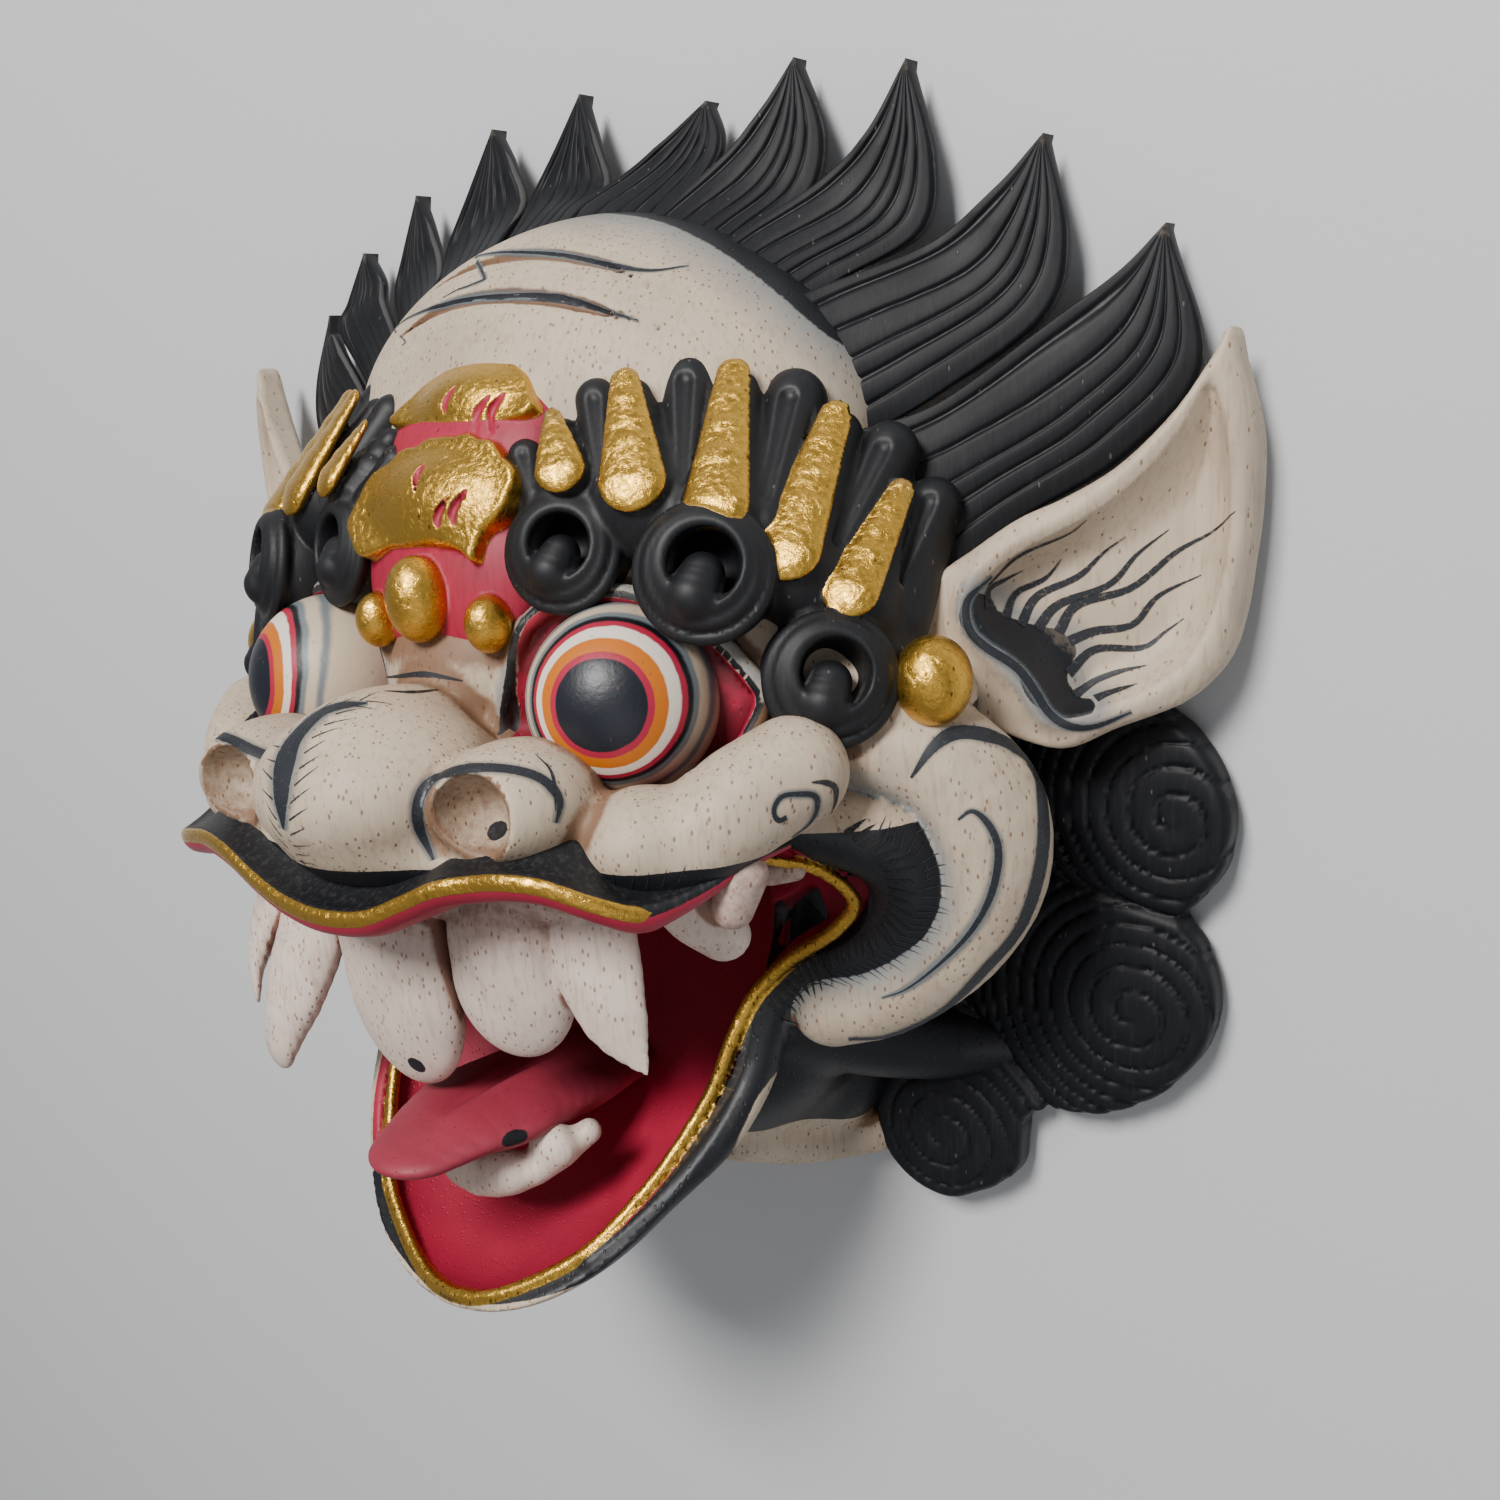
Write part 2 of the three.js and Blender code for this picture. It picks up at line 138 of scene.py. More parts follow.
class Ellipsoid(Form):
    """An ellipsoid, turned by a rotation matrix."""

    def __init__(self, at: Point, radii: Point, turn: Array | None = None) -> None:
        """Places the ellipsoid.

        Args:
            at: its middle.
            radii: its half sizes.
            turn: its rotation, or None.
        """
        self.at = np.array(at, dtype=np.float32)
        self.radii = np.array(radii, dtype=np.float32)
        self.turn = turn
        reach = self.radii if turn is None else np.full(3, self.radii.max())
        self.low, self.high = self.at - reach, self.at + reach

    def raw(self, points: Array) -> Array:
        """The signed distance, from the scaled length and its slope.

        Args:
            points: N by 3 places.

        Returns:
            N distances.
        """
        q = points - self.at
        if self.turn is not None:
            q = q @ self.turn
        scaled = q / self.radii
        k0 = np.sqrt((scaled * scaled).sum(axis=1))
        twice = scaled / self.radii
        k1 = np.sqrt((twice * twice).sum(axis=1)) + 1e-6
        return k0 * (k0 - 1.0) / k1


def curve_through(points: list[Point], count: int, closed: bool = False) -> Array:
    """Places evenly along a smooth curve through the points.

    Args:
        points: places that the curve passes through, each with as many numbers as wanted.
        count: how many places to return.
        closed: whether the curve runs back to its start.

    Returns:
        count rows of places.
    """
    p = np.array(points, dtype=float)
    if closed:
        p = np.vstack([p[-1], p, p[0], p[1]])
    else:
        p = np.vstack([2 * p[0] - p[1], p, 2 * p[-1] - p[-2]])
    spans = len(p) - 3
    t = np.linspace(0, spans, count * 8, endpoint=not closed)
    k = np.minimum(t.astype(int), spans - 1)
    s = (t - k)[:, None]
    a, b, c, d = p[k], p[k + 1], p[k + 2], p[k + 3]
    fine = 0.5 * (2 * b + (c - a) * s + (2 * a - 5 * b + 4 * c - d) * s**2 + (3 * b - a - 3 * c + d) * s**3)
    if closed:
        fine = np.vstack([fine, fine[0]])
    run = np.concatenate([[0.0], np.cumsum(np.linalg.norm(np.diff(fine, axis=0), axis=1))])
    want = np.linspace(0, run[-1], count)
    return np.stack([np.interp(want, run, fine[:, i]) for i in range(fine.shape[1])], axis=1)


class Strand(Form):
    """A round strand of changing radius along a smooth path, flattened along one direction if wanted."""

    def __init__(
        self,
        path: list[Point],
        radii: list[float],
        count: int = 12,
        closed: bool = False,
        flat: tuple[Point, float] | None = None,
    ) -> None:
        """Lays the strand along a path.

        Args:
            path: places that it passes through.
            radii: its radius along the way.
            count: how many places it is cut into.
            closed: whether it is a ring.
            flat: how thick it is for its width.
        """
        self.nodes = curve_through(path, count, closed).astype(np.float32)
        along = np.linspace(0, 1, count)
        self.radii = np.interp(along, np.linspace(0, 1, len(radii)), radii).astype(np.float32)
        self.flat = None
        if flat is not None:
            axis = np.array(flat[0], dtype=np.float32)
            self.flat = (axis / np.linalg.norm(axis), flat[1])
        reach = self.radii.max()
        self.low, self.high = self.nodes.min(axis=0) - reach, self.nodes.max(axis=0) + reach

    def raw(self, points: Array) -> Array:
        """The signed distance to the nearest run of the strand.

        Args:
            points: N by 3 places.

        Returns:
            N distances.
        """
        best = np.full(len(points), 1e3, dtype=np.float32)
        for a, b, ra, rb in zip(self.nodes[:-1], self.nodes[1:], self.radii[:-1], self.radii[1:]):
            run = b - a
            q = points - a
            t = np.clip(q @ run / max(float(run @ run), 1e-9), 0, 1)
            q = q - t[:, None] * run
            if self.flat is not None:
                axis, ratio = self.flat
                q = q + (q @ axis)[:, None] * axis * (1.0 / ratio - 1.0)
            np.minimum(best, np.sqrt((q * q).sum(axis=1)) - (ra + (rb - ra) * t), out=best)
        return best


class Slab(Form):
    """All that lies on the low side of a plane."""

    def __init__(self, at: Point, normal: Point) -> None:
        """Places the flat face.

        Args:
            at: a place on it.
            normal: the way out of the slab.
        """
        self.at = np.array(at, dtype=np.float32)
        self.normal = np.array(normal, dtype=np.float32) / np.linalg.norm(normal)
        self.low, self.high = np.full(3, -1e3), np.full(3, 1e3)

    def distance(self, points: Array) -> Array:
        """The signed distance to the flat face."""
        return (points - self.at) @ self.normal


class Plate(Form):
    """A flat outline, a polygon in x and y, between two heights with a rounded rim."""

    def __init__(self, outline: Array, low: float, high: float, round_by: float = 1.5) -> None:
        """Stands the plate up from its outline.

        Args:
            outline: the corners, in x and y.
            low: the bottom, in z.
            high: the top, in z.
            round_by: the radius of its edges.
        """
        self.outline = np.asarray(outline, dtype=np.float32)
        self.round_by = round_by
        self.middle, self.half = (low + high) / 2, (high - low) / 2
        self.low = np.array([*self.outline.min(axis=0), low])
        self.high = np.array([*self.outline.max(axis=0), high])

    def flat_distance(self, points: Array) -> Array:
        """The signed distance to the outline in x and y.

        Args:
            points: N by 3 places.

        Returns:
            N distances.
        """
        x, y = points[:, 0], points[:, 1]
        best = np.full(len(points), 1e6, dtype=np.float32)
        inside = np.zeros(len(points), dtype=bool)
        for a, b in zip(self.outline, np.roll(self.outline, -1, axis=0)):
            run = b - a
            qx, qy = x - a[0], y - a[1]
            t = np.clip((qx * run[0] + qy * run[1]) / max(float(run @ run), 1e-9), 0, 1)
            dx, dy = qx - t * run[0], qy - t * run[1]
            np.minimum(best, dx * dx + dy * dy, out=best)
            if a[1] != b[1]:
                crosses = ((a[1] > y) != (b[1] > y)) & (qx < run[0] * qy / run[1])
                inside ^= crosses
        return np.sqrt(best) * np.where(inside, -1.0, 1.0)

    def raw(self, points: Array) -> Array:
        """The signed distance, with rounded edges.

        Args:
            points: N by 3 places.

        Returns:
            N distances.
        """
        side = self.flat_distance(points) + self.round_by
        rise = np.abs(points[:, 2] - self.middle) - self.half + self.round_by
        outer = np.sqrt(np.maximum(side, 0) ** 2 + np.maximum(rise, 0) ** 2)
        return outer + np.minimum(np.maximum(side, rise), 0) - self.round_by


def soft_low(a: Array, b: Array, blend: float) -> Array:
    """The lower of two distances, blended over a width in mm."""
    h = np.clip(0.5 + 0.5 * (b - a) / blend, 0, 1)
    return b + (a - b) * h - blend * h * (1 - h)


class Union(Form):
    """Several forms run together, each over its own blend width."""

    def __init__(self, *parts: tuple[Form, float] | Form) -> None:
        """Joins the parts.

        Args:
            parts: forms to join.
        """
        self.parts = [part if isinstance(part, tuple) else (part, 0.8) for part in parts]
        self.low = np.min([form.low for form, _ in self.parts], axis=0)
        self.high = np.max([form.high for form, _ in self.parts], axis=0)

    def distance(self, points: Array) -> Array:
        """The distance to the nearest part.

        Args:
            points: N by 3 places.

        Returns:
            N distances.
        """
        best = np.full(len(points), FAR, dtype=np.float32)
        for form, blend in self.parts:
            best = soft_low(best, form.distance(points), blend)
        return best


class Carved(Form):
    """A form with others cut out of it, each over its own blend width."""

    def __init__(self, body: Form, *cuts: tuple[Form, float]) -> None:
        """Keeps the body and what is cut from it."""
        self.body, self.cuts = body, cuts
        self.low, self.high = body.low, body.high

    def distance(self, points: Array) -> Array:
        """The distance once the cuts are made.

        Args:
            points: N by 3 places.

        Returns:
            N distances.
        """
        best = self.body.distance(points)
        for form, blend in self.cuts:
            best = -soft_low(-best, form.distance(points), blend)
        return best


class Mirrored(Form):
    """A form on the right of the face, and its mirror image on the left."""

    def __init__(self, form: Form) -> None:
        """Keeps the form and makes room for its mirror image.

        Args:
            form: the form to mirror across x = 0.
        """
        self.form = form
        self.low = np.array([-form.high[0], form.low[1], form.low[2]])
        self.high = form.high

    def distance(self, points: Array) -> Array:
        """The distance to the form or its mirror image.

        Args:
            points: N by 3 places.

        Returns:
            N distances.
        """
        folded = points.copy()
        folded[:, 0] = np.abs(folded[:, 0])
        return self.form.distance(folded)


class Rippled(Form):
    """A form whose skin is pushed in by a pattern of grooves."""

    def __init__(self, form: Form, depth_at: Callable[[Array], Array]) -> None:
        """Keeps the form and how deep it is worked."""
        self.form, self.depth_at = form, depth_at
        self.low, self.high = form.low, form.high

    def distance(self, points: Array) -> Array:
        """The distance once the surface is worked.

        Args:
            points: N by 3 places.

        Returns:
            N distances.
        """
        base = self.form.distance(points)
        near = np.abs(base) < 6
        base[near] += self.depth_at(points[near])
        return base


# --- meshing


@dataclass
class Skin:
    """A polygon skin in the working frame, with a normal at each vertex."""

    points: Array
    quads: Array
    normals: Array
    measures: dict[str, Array] = field(default_factory=dict)

    def part(self, chosen: Array) -> "Skin":
        """The skin's faces that are chosen, with the vertices that they use.

        Args:
            chosen: one flag for each face.

        Returns:
            The smaller skin.
        """
        quads = self.quads[chosen]
        used, renumbered = np.unique(quads, return_inverse=True)
        measures = {name: values[used] for name, values in self.measures.items()}
        return Skin(self.points[used], renumbered.reshape(quads.shape), self.normals[used], measures)


def slope(form: Form, points: Array, reach: float) -> tuple[Array, Array]:
    """The distance and its gradient, from four samples round each point.

    Args:
        form: the form.
        points: N by 3 places.
        reach: how far off the samples lie, in mm.

    Returns:
        N distances, and N by 3 gradients.
    """
    corners = np.array([[1, -1, -1], [-1, -1, 1], [-1, 1, -1], [1, 1, 1]], dtype=np.float32)
    gradient = np.zeros_like(points)
    total = np.zeros(len(points), dtype=np.float32)
    for corner in corners:
        value = form.distance(points + corner * reach)
        gradient += corner * value[:, None]
        total += value
    return total / 4, gradient / (4 * reach)


def polygonise(form: Form, step: float, low: Point | None = None, high: Point | None = None) -> Skin:
    """Turns a form into a skin of quads by surface nets on a grid that is filled only near the surface.

    Args:
        form: the solid.
        step: the grid's pitch in mm.
        low: lowest corner of the space to search, or None for the form's own.
        high: highest corner, or None.

    Returns:
        The skin, with its vertices drawn onto the surface and its creases and edges measured.
    """
    block = 6  # samples along each side of a block that is filled at once
    first = np.array(form.low if low is None else low, dtype=np.float32) - 2 * step
    last = np.array(form.high if high is None else high, dtype=np.float32) + 2 * step
    blocks = np.ceil((last - first) / (step * block)).astype(int)
    places = np.stack(np.meshgrid(*[np.arange(n) for n in blocks], indexing="ij"), axis=-1).reshape(-1, 3)
    corners = first + places * (block * step)
    rough = form.distance((corners + (block - 1) / 2 * step).astype(np.float32))
    kept = np.abs(rough) < 0.87 * block * step + 2.5
    inner = np.arange(block, dtype=np.float32) * step
    offsets = np.stack(np.meshgrid(inner, inner, inner, indexing="ij"), axis=-1).reshape(-1, 3)
    samples = (corners[kept][:, None, :] + offsets[None]).reshape(-1, 3).astype(np.float32)
    cells = np.broadcast_to(np.sign(rough)[:, None] * FAR, (len(rough), block**3)).astype(np.float32)
    cells[kept] = form.distance(samples).reshape(-1, block**3)
    grid = cells.reshape(*blocks, block, block, block).transpose(0, 3, 1, 4, 2, 5).reshape(blocks * block)

    inside = grid < 0
    whole = inside.astype(np.int8)
    count = sum(
        whole[i : i + whole.shape[0] - 1, j : j + whole.shape[1] - 1, k : k + whole.shape[2] - 1]
        for i in (0, 1)
        for j in (0, 1)
        for k in (0, 1)
    )
    active = (count > 0) & (count < 8)
    index = np.argwhere(active)
    number = np.full(active.shape, -1, dtype=np.int32)
    number[active] = np.arange(len(index))
    total = np.zeros((len(index), 3), dtype=np.float32)
    hits = np.zeros(len(index), dtype=np.float32)
    for axis in range(3):
        others = [a for a in range(3) if a != axis]
        for da in (0, 1):
            for db in (0, 1):
                start = np.zeros(3, dtype=int)
                start[others[0]], start[others[1]] = da, db
                end = start.copy()
                end[axis] = 1
                va = grid[tuple((index + start).T)]
                vb = grid[tuple((index + end).T)]
                cross = (va < 0) != (vb < 0)
                t = np.where(cross, va / np.where(cross, va - vb, 1), 0)
                total += np.where(cross[:, None], start + t[:, None] * (end - start), 0)
                hits += cross
    points = (first + (index + total / hits[:, None]) * step).astype(np.float32)

    quads = []
    for axis in range(3):
        b, c = (axis + 1) % 3, (axis + 2) % 3
        lower = np.take(inside, range(inside.shape[axis] - 1), axis=axis)
        upper = np.take(inside, range(1, inside.shape[axis]), axis=axis)
        edges = np.argwhere(lower != upper)
        edges = edges[(edges[:, b] > 0) & (edges[:, c] > 0)]
        edges = edges[(edges[:, b] < active.shape[b]) & (edges[:, c] < active.shape[c])]
        filled = lower[tuple(edges.T)]
        ring = []
        for db, dc in ((-1, -1), (0, -1), (0, 0), (-1, 0)):
            cell = edges.copy()
            cell[:, b] += db
            cell[:, c] += dc
            ring.append(number[tuple(cell.T)])
        faces = np.stack(ring, axis=1)
        faces[~filled] = faces[~filled][:, ::-1]
        quads.append(faces[(faces >= 0).all(axis=1)])
    quads = np.vstack(quads)

    value, gradient = slope(form, points, 0.35 * step)
    size = (gradient * gradient).sum(axis=1) + 1e-4
    move = np.clip(value / size, -0.4 * step, 0.4 * step)
    points = points - gradient * move[:, None]
    normals = gradient / np.sqrt(size)[:, None]
    skin = Skin(points, quads, normals)
    skin.measures["hollow"] = np.clip(1 - form.distance(points + normals * 3.0) / 3.0, -1, 2)
    skin.measures["proud"] = np.clip(1 + form.distance(points - normals * 2.0) / 2.0, -1, 2)
    return skin


def link(thing: Piece) -> None:
    """Puts an object in the scene."""
    bpy.context.scene.collection.objects.link(thing)


def placed(points: Array) -> Array:
    """Working millimetres as the frame's metres."""
    return (np.asarray(points) + (0, SHIFT_Y, 0)) * MM


def make_object(name: str, skin: Skin, finish: Material) -> Piece:
    """A mesh object of a skin, with its normals and measures, dressed in a finish.

    Args:
        name: the piece's name.
        skin: its skin.
        finish: its material.

    Returns:
        The object, at the origin.
    """
    mesh = bpy.data.meshes.new(name)
    sides = skin.quads.shape[1]
    mesh.vertices.add(len(skin.points))
    mesh.vertices.foreach_set("co", placed(skin.points).astype(np.float32).ravel())
    mesh.loops.add(skin.quads.size)
    mesh.loops.foreach_set("vertex_index", skin.quads.astype(np.int32).ravel())
    mesh.polygons.add(len(skin.quads))
    mesh.polygons.foreach_set("loop_start", np.arange(0, skin.quads.size, sides, dtype=np.int32))
    mesh.update(calc_edges=True)
    mesh.polygons.foreach_set("use_smooth", np.ones(len(skin.quads), dtype=bool))
    for measure, values in skin.measures.items():
        layer = mesh.attributes.new(measure, "FLOAT", "POINT")
        layer.data.foreach_set("value", values.astype(np.float32))
    mesh.materials.append(finish)
    if skin.normals is not None:
        mesh.normals_split_custom_set_from_vertices(skin.normals)
    piece = bpy.data.objects.new(name, mesh)
    link(piece)
    return piece


def declare(piece: Piece, slot: str, *nodes: str) -> None:
    """Attaches a piece to the root body, hides the CAD nodes that it stands for, and logs its face count.

    Args:
        piece: the piece's object.
        slot: not used.
        nodes: the CAD nodes that it stands for.
    """
    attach(piece, "root")
    if nodes:
        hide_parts(*nodes)
    log.info("%s: %d faces", piece.name, len(piece.data.polygons))


# --- finishes


def shade(red: int, green: int, blue: int) -> Tint:
    """A linear colour from the usual 0 to 255 values."""
    parts = [c / 255 for c in (red, green, blue)]
    return (*[c / 12.92 if c <= 0.04045 else ((c + 0.055) / 1.055) ** 2.4 for c in parts], 1.0)


IVORY = shade(200, 181, 158)
BROWN_STAIN_AND_SHADE = shade(112, 74, 46)
BLACK = shade(10, 12, 18)
DUST = shade(82, 80, 80)
CRIMSON = shade(166, 27, 58)
ROSE = shade(154, 47, 66)
GOLD = shade(214, 168, 72)
ORANGE = shade(194, 104, 8)
WASH = shade(112, 120, 124)
TOOTH = shade(226, 206, 192)
WOOD = shade(126, 88, 58)


class Shader:
    """A material under construction, with short ways to add its nodes."""

    def __init__(self, tree: Tree) -> None:
        """Keeps the tree that is filled."""
        self.tree = tree

    def node(self, kind: str, settings: dict | None = None, **inputs) -> Node:
        """Adds a node, sets its properties, and sets or links its inputs.

        Args:
            kind: the node's type name.
            settings: properties to set first.
            inputs: socket names with _ for a space, or i0, i1 for a place in the list.

        Returns:
            The node.
        """
        made = self.tree.nodes.new(kind)
        for key, value in (settings or {}).items():
            setattr(made, key, value)
        for key, value in inputs.items():
            place = int(key[1:]) if key[0] == "i" and key[1:].isdigit() else key.replace("_", " ")
            socket = made.inputs[place]
            if isinstance(value, Socket):
                self.tree.links.new(value, socket)
            else:
                socket.default_value = value
        return made

    def math(self, kind: str, a: Value, b: Value = 0.0, c: Value = 0.0) -> Socket:
        """The result of a Math node."""
        return self.node("ShaderNodeMath", {"operation": kind}, i0=a, i1=b, i2=c).outputs[0]

    def mix(self, mask: Value, a: Socket | Tint, b: Socket | Tint) -> Socket:
        """Colour a where the mask is 0 and colour b where it is 1."""
        made = self.node("ShaderNodeMix", {"data_type": "RGBA"}, i0=mask, i6=a, i7=b)
        return made.outputs[2]

    def blend(self, mask: Value, a: Value, b: Value) -> Socket:
        """Value a where the mask is 0 and value b where it is 1."""
        return self.node("ShaderNodeMix", {"data_type": "FLOAT"}, i0=mask, i2=a, i3=b).outputs[0]

    def step(self, value: Value, low: Value, high: Value) -> Socket:
        """0 below low and 1 above high, with a smooth run between them; low may be the larger.

        Args:
            value: what is compared.
            low: where the run starts.
            high: where the run ends.

        Returns:
            The socket of the step.
        """
        settings = {"interpolation_type": "SMOOTHSTEP"}
        made = self.node("ShaderNodeMapRange", settings, i0=value, i1=low, i2=high)
        return made.outputs[0]

    def surface(self, colour: Socket | Tint, rough: Value, bump: tuple[float, float, Socket]) -> Node:
        """Ends a material in a bumpy painted surface.

        Args:
            colour: its colour.
            rough: its roughness.
            bump: the bump's strength, its reach in mm and its height.

        Returns:
            The surface's node.
        """
        strength, reach, height = bump
        raised = self.node("ShaderNodeBump", Strength=strength, Distance=reach * MM, Height=height)
        looks = {"Base Color": colour, "Roughness": rough, "Normal": raised.outputs[0]}
        made = self.node("ShaderNodeBsdfPrincipled", **looks)
        self.node("ShaderNodeOutputMaterial", Surface=made.outputs[0])
        return made

    def measure(self, name: str) -> Socket:
        """A vertex measure of the piece."""
        return self.node("ShaderNodeAttribute", {"attribute_name": name}).outputs["Fac"]

    def place(self, stretch: Point = (1.0, 1.0, 1.0)) -> Socket:
        """Object coordinates in millimetres, scaled by stretch.

        Args:
            stretch: the scale along each axis.

        Returns:
            The socket of the coordinates.
        """
        coordinates = self.node("ShaderNodeTexCoord").outputs["Object"]
        scale = [s / MM for s in stretch]
        return self.node("ShaderNodeMapping", i0=coordinates, i3=scale).outputs[0]

    def noise(self, size: float, detail: float = 3.0, rough: float = 0.55) -> Socket:
        """Smooth noise whose lumps are about size millimetres across."""
        sizes = {"Vector": self.place(), "Scale": 1.0 / size, "Detail": detail, "Roughness": rough}
        return self.node("ShaderNodeTexNoise", **sizes).outputs["Fac"]


Put = Callable[[str, Socket], None]


def effect(name: str, inputs: dict[str, float], outputs: list[str], fill: Callable) -> Tree:
    """A shader node group of plain value sockets, filled in by a function.

    Args:
        name: the group's name.
        inputs: input names and their default values.
        outputs: output names.
        fill: called with the Shader, the input sockets and a function that sets an output.

    Returns:
        The group.
    """
    tree = bpy.data.node_groups.new(name, "ShaderNodeTree")
    for socket, value in inputs.items():
        tree.interface.new_socket(socket, in_out="INPUT", socket_type="NodeSocketFloat").default_value = value
    for socket in outputs:
        tree.interface.new_socket(socket, in_out="OUTPUT", socket_type="NodeSocketFloat")
    entry = tree.nodes.new("NodeGroupInput")
    leave = tree.nodes.new("NodeGroupOutput")

    def put(socket: str, value: Socket) -> None:
        """Links a value to one of the group's outputs."""
        tree.links.new(value, leave.inputs[socket])

    fill(Shader(tree), entry.outputs, put)
    return tree


def start_material(name: str) -> tuple[Material, Shader]:
    """An empty node material and the means to fill it.

    Args:
        name: the material's name.

    Returns:
        The material, and a Shader on its tree.
    """
    material = bpy.data.materials.new(name)
    material.use_nodes = True
    material.node_tree.nodes.clear()
    return material, Shader(material.node_tree)


class Effects:
    """The surface effects that several finishes share."""

    def __init__(self) -> None:
        """Makes the five node groups."""
        self.pores = effect(
            "Pores", {"Spacing": 1.35, "Share": 0.35, "Size": 0.28}, ["Mask"], self.fill_pores
        )
        self.creases = effect("Creases", {"Hollow": 0.0, "Reach": 0.6}, ["Mask"], self.fill_crease_dirt_and_shade)
        self.edges = effect("Edge wear", {"Proud": 0.0, "Reach": 0.5}, ["Mask"], self.fill_edges)
        self.grain = effect("Wood grain", {"Size": 1.2}, ["Mask", "Height"], self.fill_grain)
        self.leaf = effect("Leaf crinkle", {"Size": 1.6}, ["Mask", "Height"], self.fill_leaf)

    @staticmethod
    def fill_pores(shader: Shader, given: Sockets, put: Put) -> None:
        """Short dark pores along the grain, thicker in some patches.

        Args:
            shader: the group's nodes.
            given: the group's input sockets.
            put: sets one of the group's outputs.
        """
        place = shader.place((1.0, 0.45, 1.0))
        spacing = shader.math("DIVIDE", 1.0, given["Spacing"])
        cells = shader.node(
            "ShaderNodeTexVoronoi", {"feature": "F1"}, Vector=place, Scale=spacing, Randomness=1.0
        )
        patch = shader.math("MULTIPLY", shader.noise(14.0, 2.0), 2.0)
        red = shader.node("ShaderNodeSeparateColor", i0=cells.outputs["Color"]).outputs[0]
        chosen = shader.math("LESS_THAN", red, shader.math("MULTIPLY", given["Share"], patch))
        core = shader.math("MULTIPLY", given["Size"], 0.4)
        near = shader.step(cells.outputs["Distance"], given["Size"], core)
        put("Mask", shader.math("MULTIPLY", near, chosen))

    @staticmethod
    def fill_crease_dirt_and_shade(shader: Shader, given: Sockets, put: Put) -> None:
        """A ragged mask of where the carving is hollow, for the dirt and the painted shade laid there.

        Args:
            shader: the group's nodes.
            given: the group's input sockets.
            put: sets one of the group's outputs.
        """
        rough = shader.math("MULTIPLY_ADD", shader.noise(2.4, 6.0, 0.7), 0.9, -0.45)
        level = shader.math("ADD", given["Hollow"], rough)
        reach = shader.math("SUBTRACT", 1.0, given["Reach"])
        put("Mask", shader.step(level, reach, shader.math("ADD", reach, 0.7)))

    @staticmethod
    def fill_edges(shader: Shader, given: Sockets, put: Put) -> None:
        """Paint rubbed thin where the carving stands proud.

        Args:
            shader: the group's nodes.
            given: the group's input sockets.
            put: sets one of the group's outputs.
        """
        rough = shader.math("MULTIPLY_ADD", shader.noise(1.8, 5.0, 0.65), 1.2, -0.6)
        level = shader.math("ADD", given["Proud"], rough)
        reach = shader.math("SUBTRACT", 1.0, given["Reach"])
        put("Mask", shader.step(level, reach, shader.math("ADD", reach, 0.35)))

    @staticmethod
    def fill_grain(shader: Shader, given: Sockets, put: Put) -> None:
        """Fine streaks along the wood, for colour and for height.

        Args:
            shader: the group's nodes.
            given: the group's input sockets.
            put: sets one of the group's outputs.
        """
        place = shader.place((1.0, 0.12, 1.0))
        scale = shader.math("DIVIDE", 1.0, given["Size"])
        streaks = shader.node("ShaderNodeTexNoise", Vector=place, Scale=scale, Detail=4.0, Roughness=0.6)
        put("Mask", streaks.outputs["Fac"])
        put("Height", streaks.outputs["Fac"])

    @staticmethod
    def fill_leaf(shader: Shader, given: Sockets, put: Put) -> None:
        """The small wrinkles and thin places of laid gold leaf.

        Args:
            shader: the group's nodes.
            given: the group's input sockets.
            put: sets one of the group's outputs.
        """
        scale = shader.math("DIVIDE", 1.0, given["Size"])
        lumps = shader.node(
            "ShaderNodeTexNoise", Vector=shader.place(), Scale=scale, Detail=5.0, Roughness=0.6,
            Distortion=0.8,
        )
        thin = shader.step(shader.noise(3.0, 6.0, 0.7), 0.60, 0.72)
        put("Height", lumps.outputs["Fac"])
        put("Mask", thin)

    def use(self, shader: Shader, tree: Tree, **inputs) -> Node:
        """Places one of the effects in a material."""
        return shader.node("ShaderNodeGroup", {"node_tree": tree}, **inputs)


class Layer(Enum):
    """Paints that can lie over a piece's ground, each with the measure that marks its edge."""

    CRIMSON = "red"
    BLACK = "black"
    GOLD = "gold"


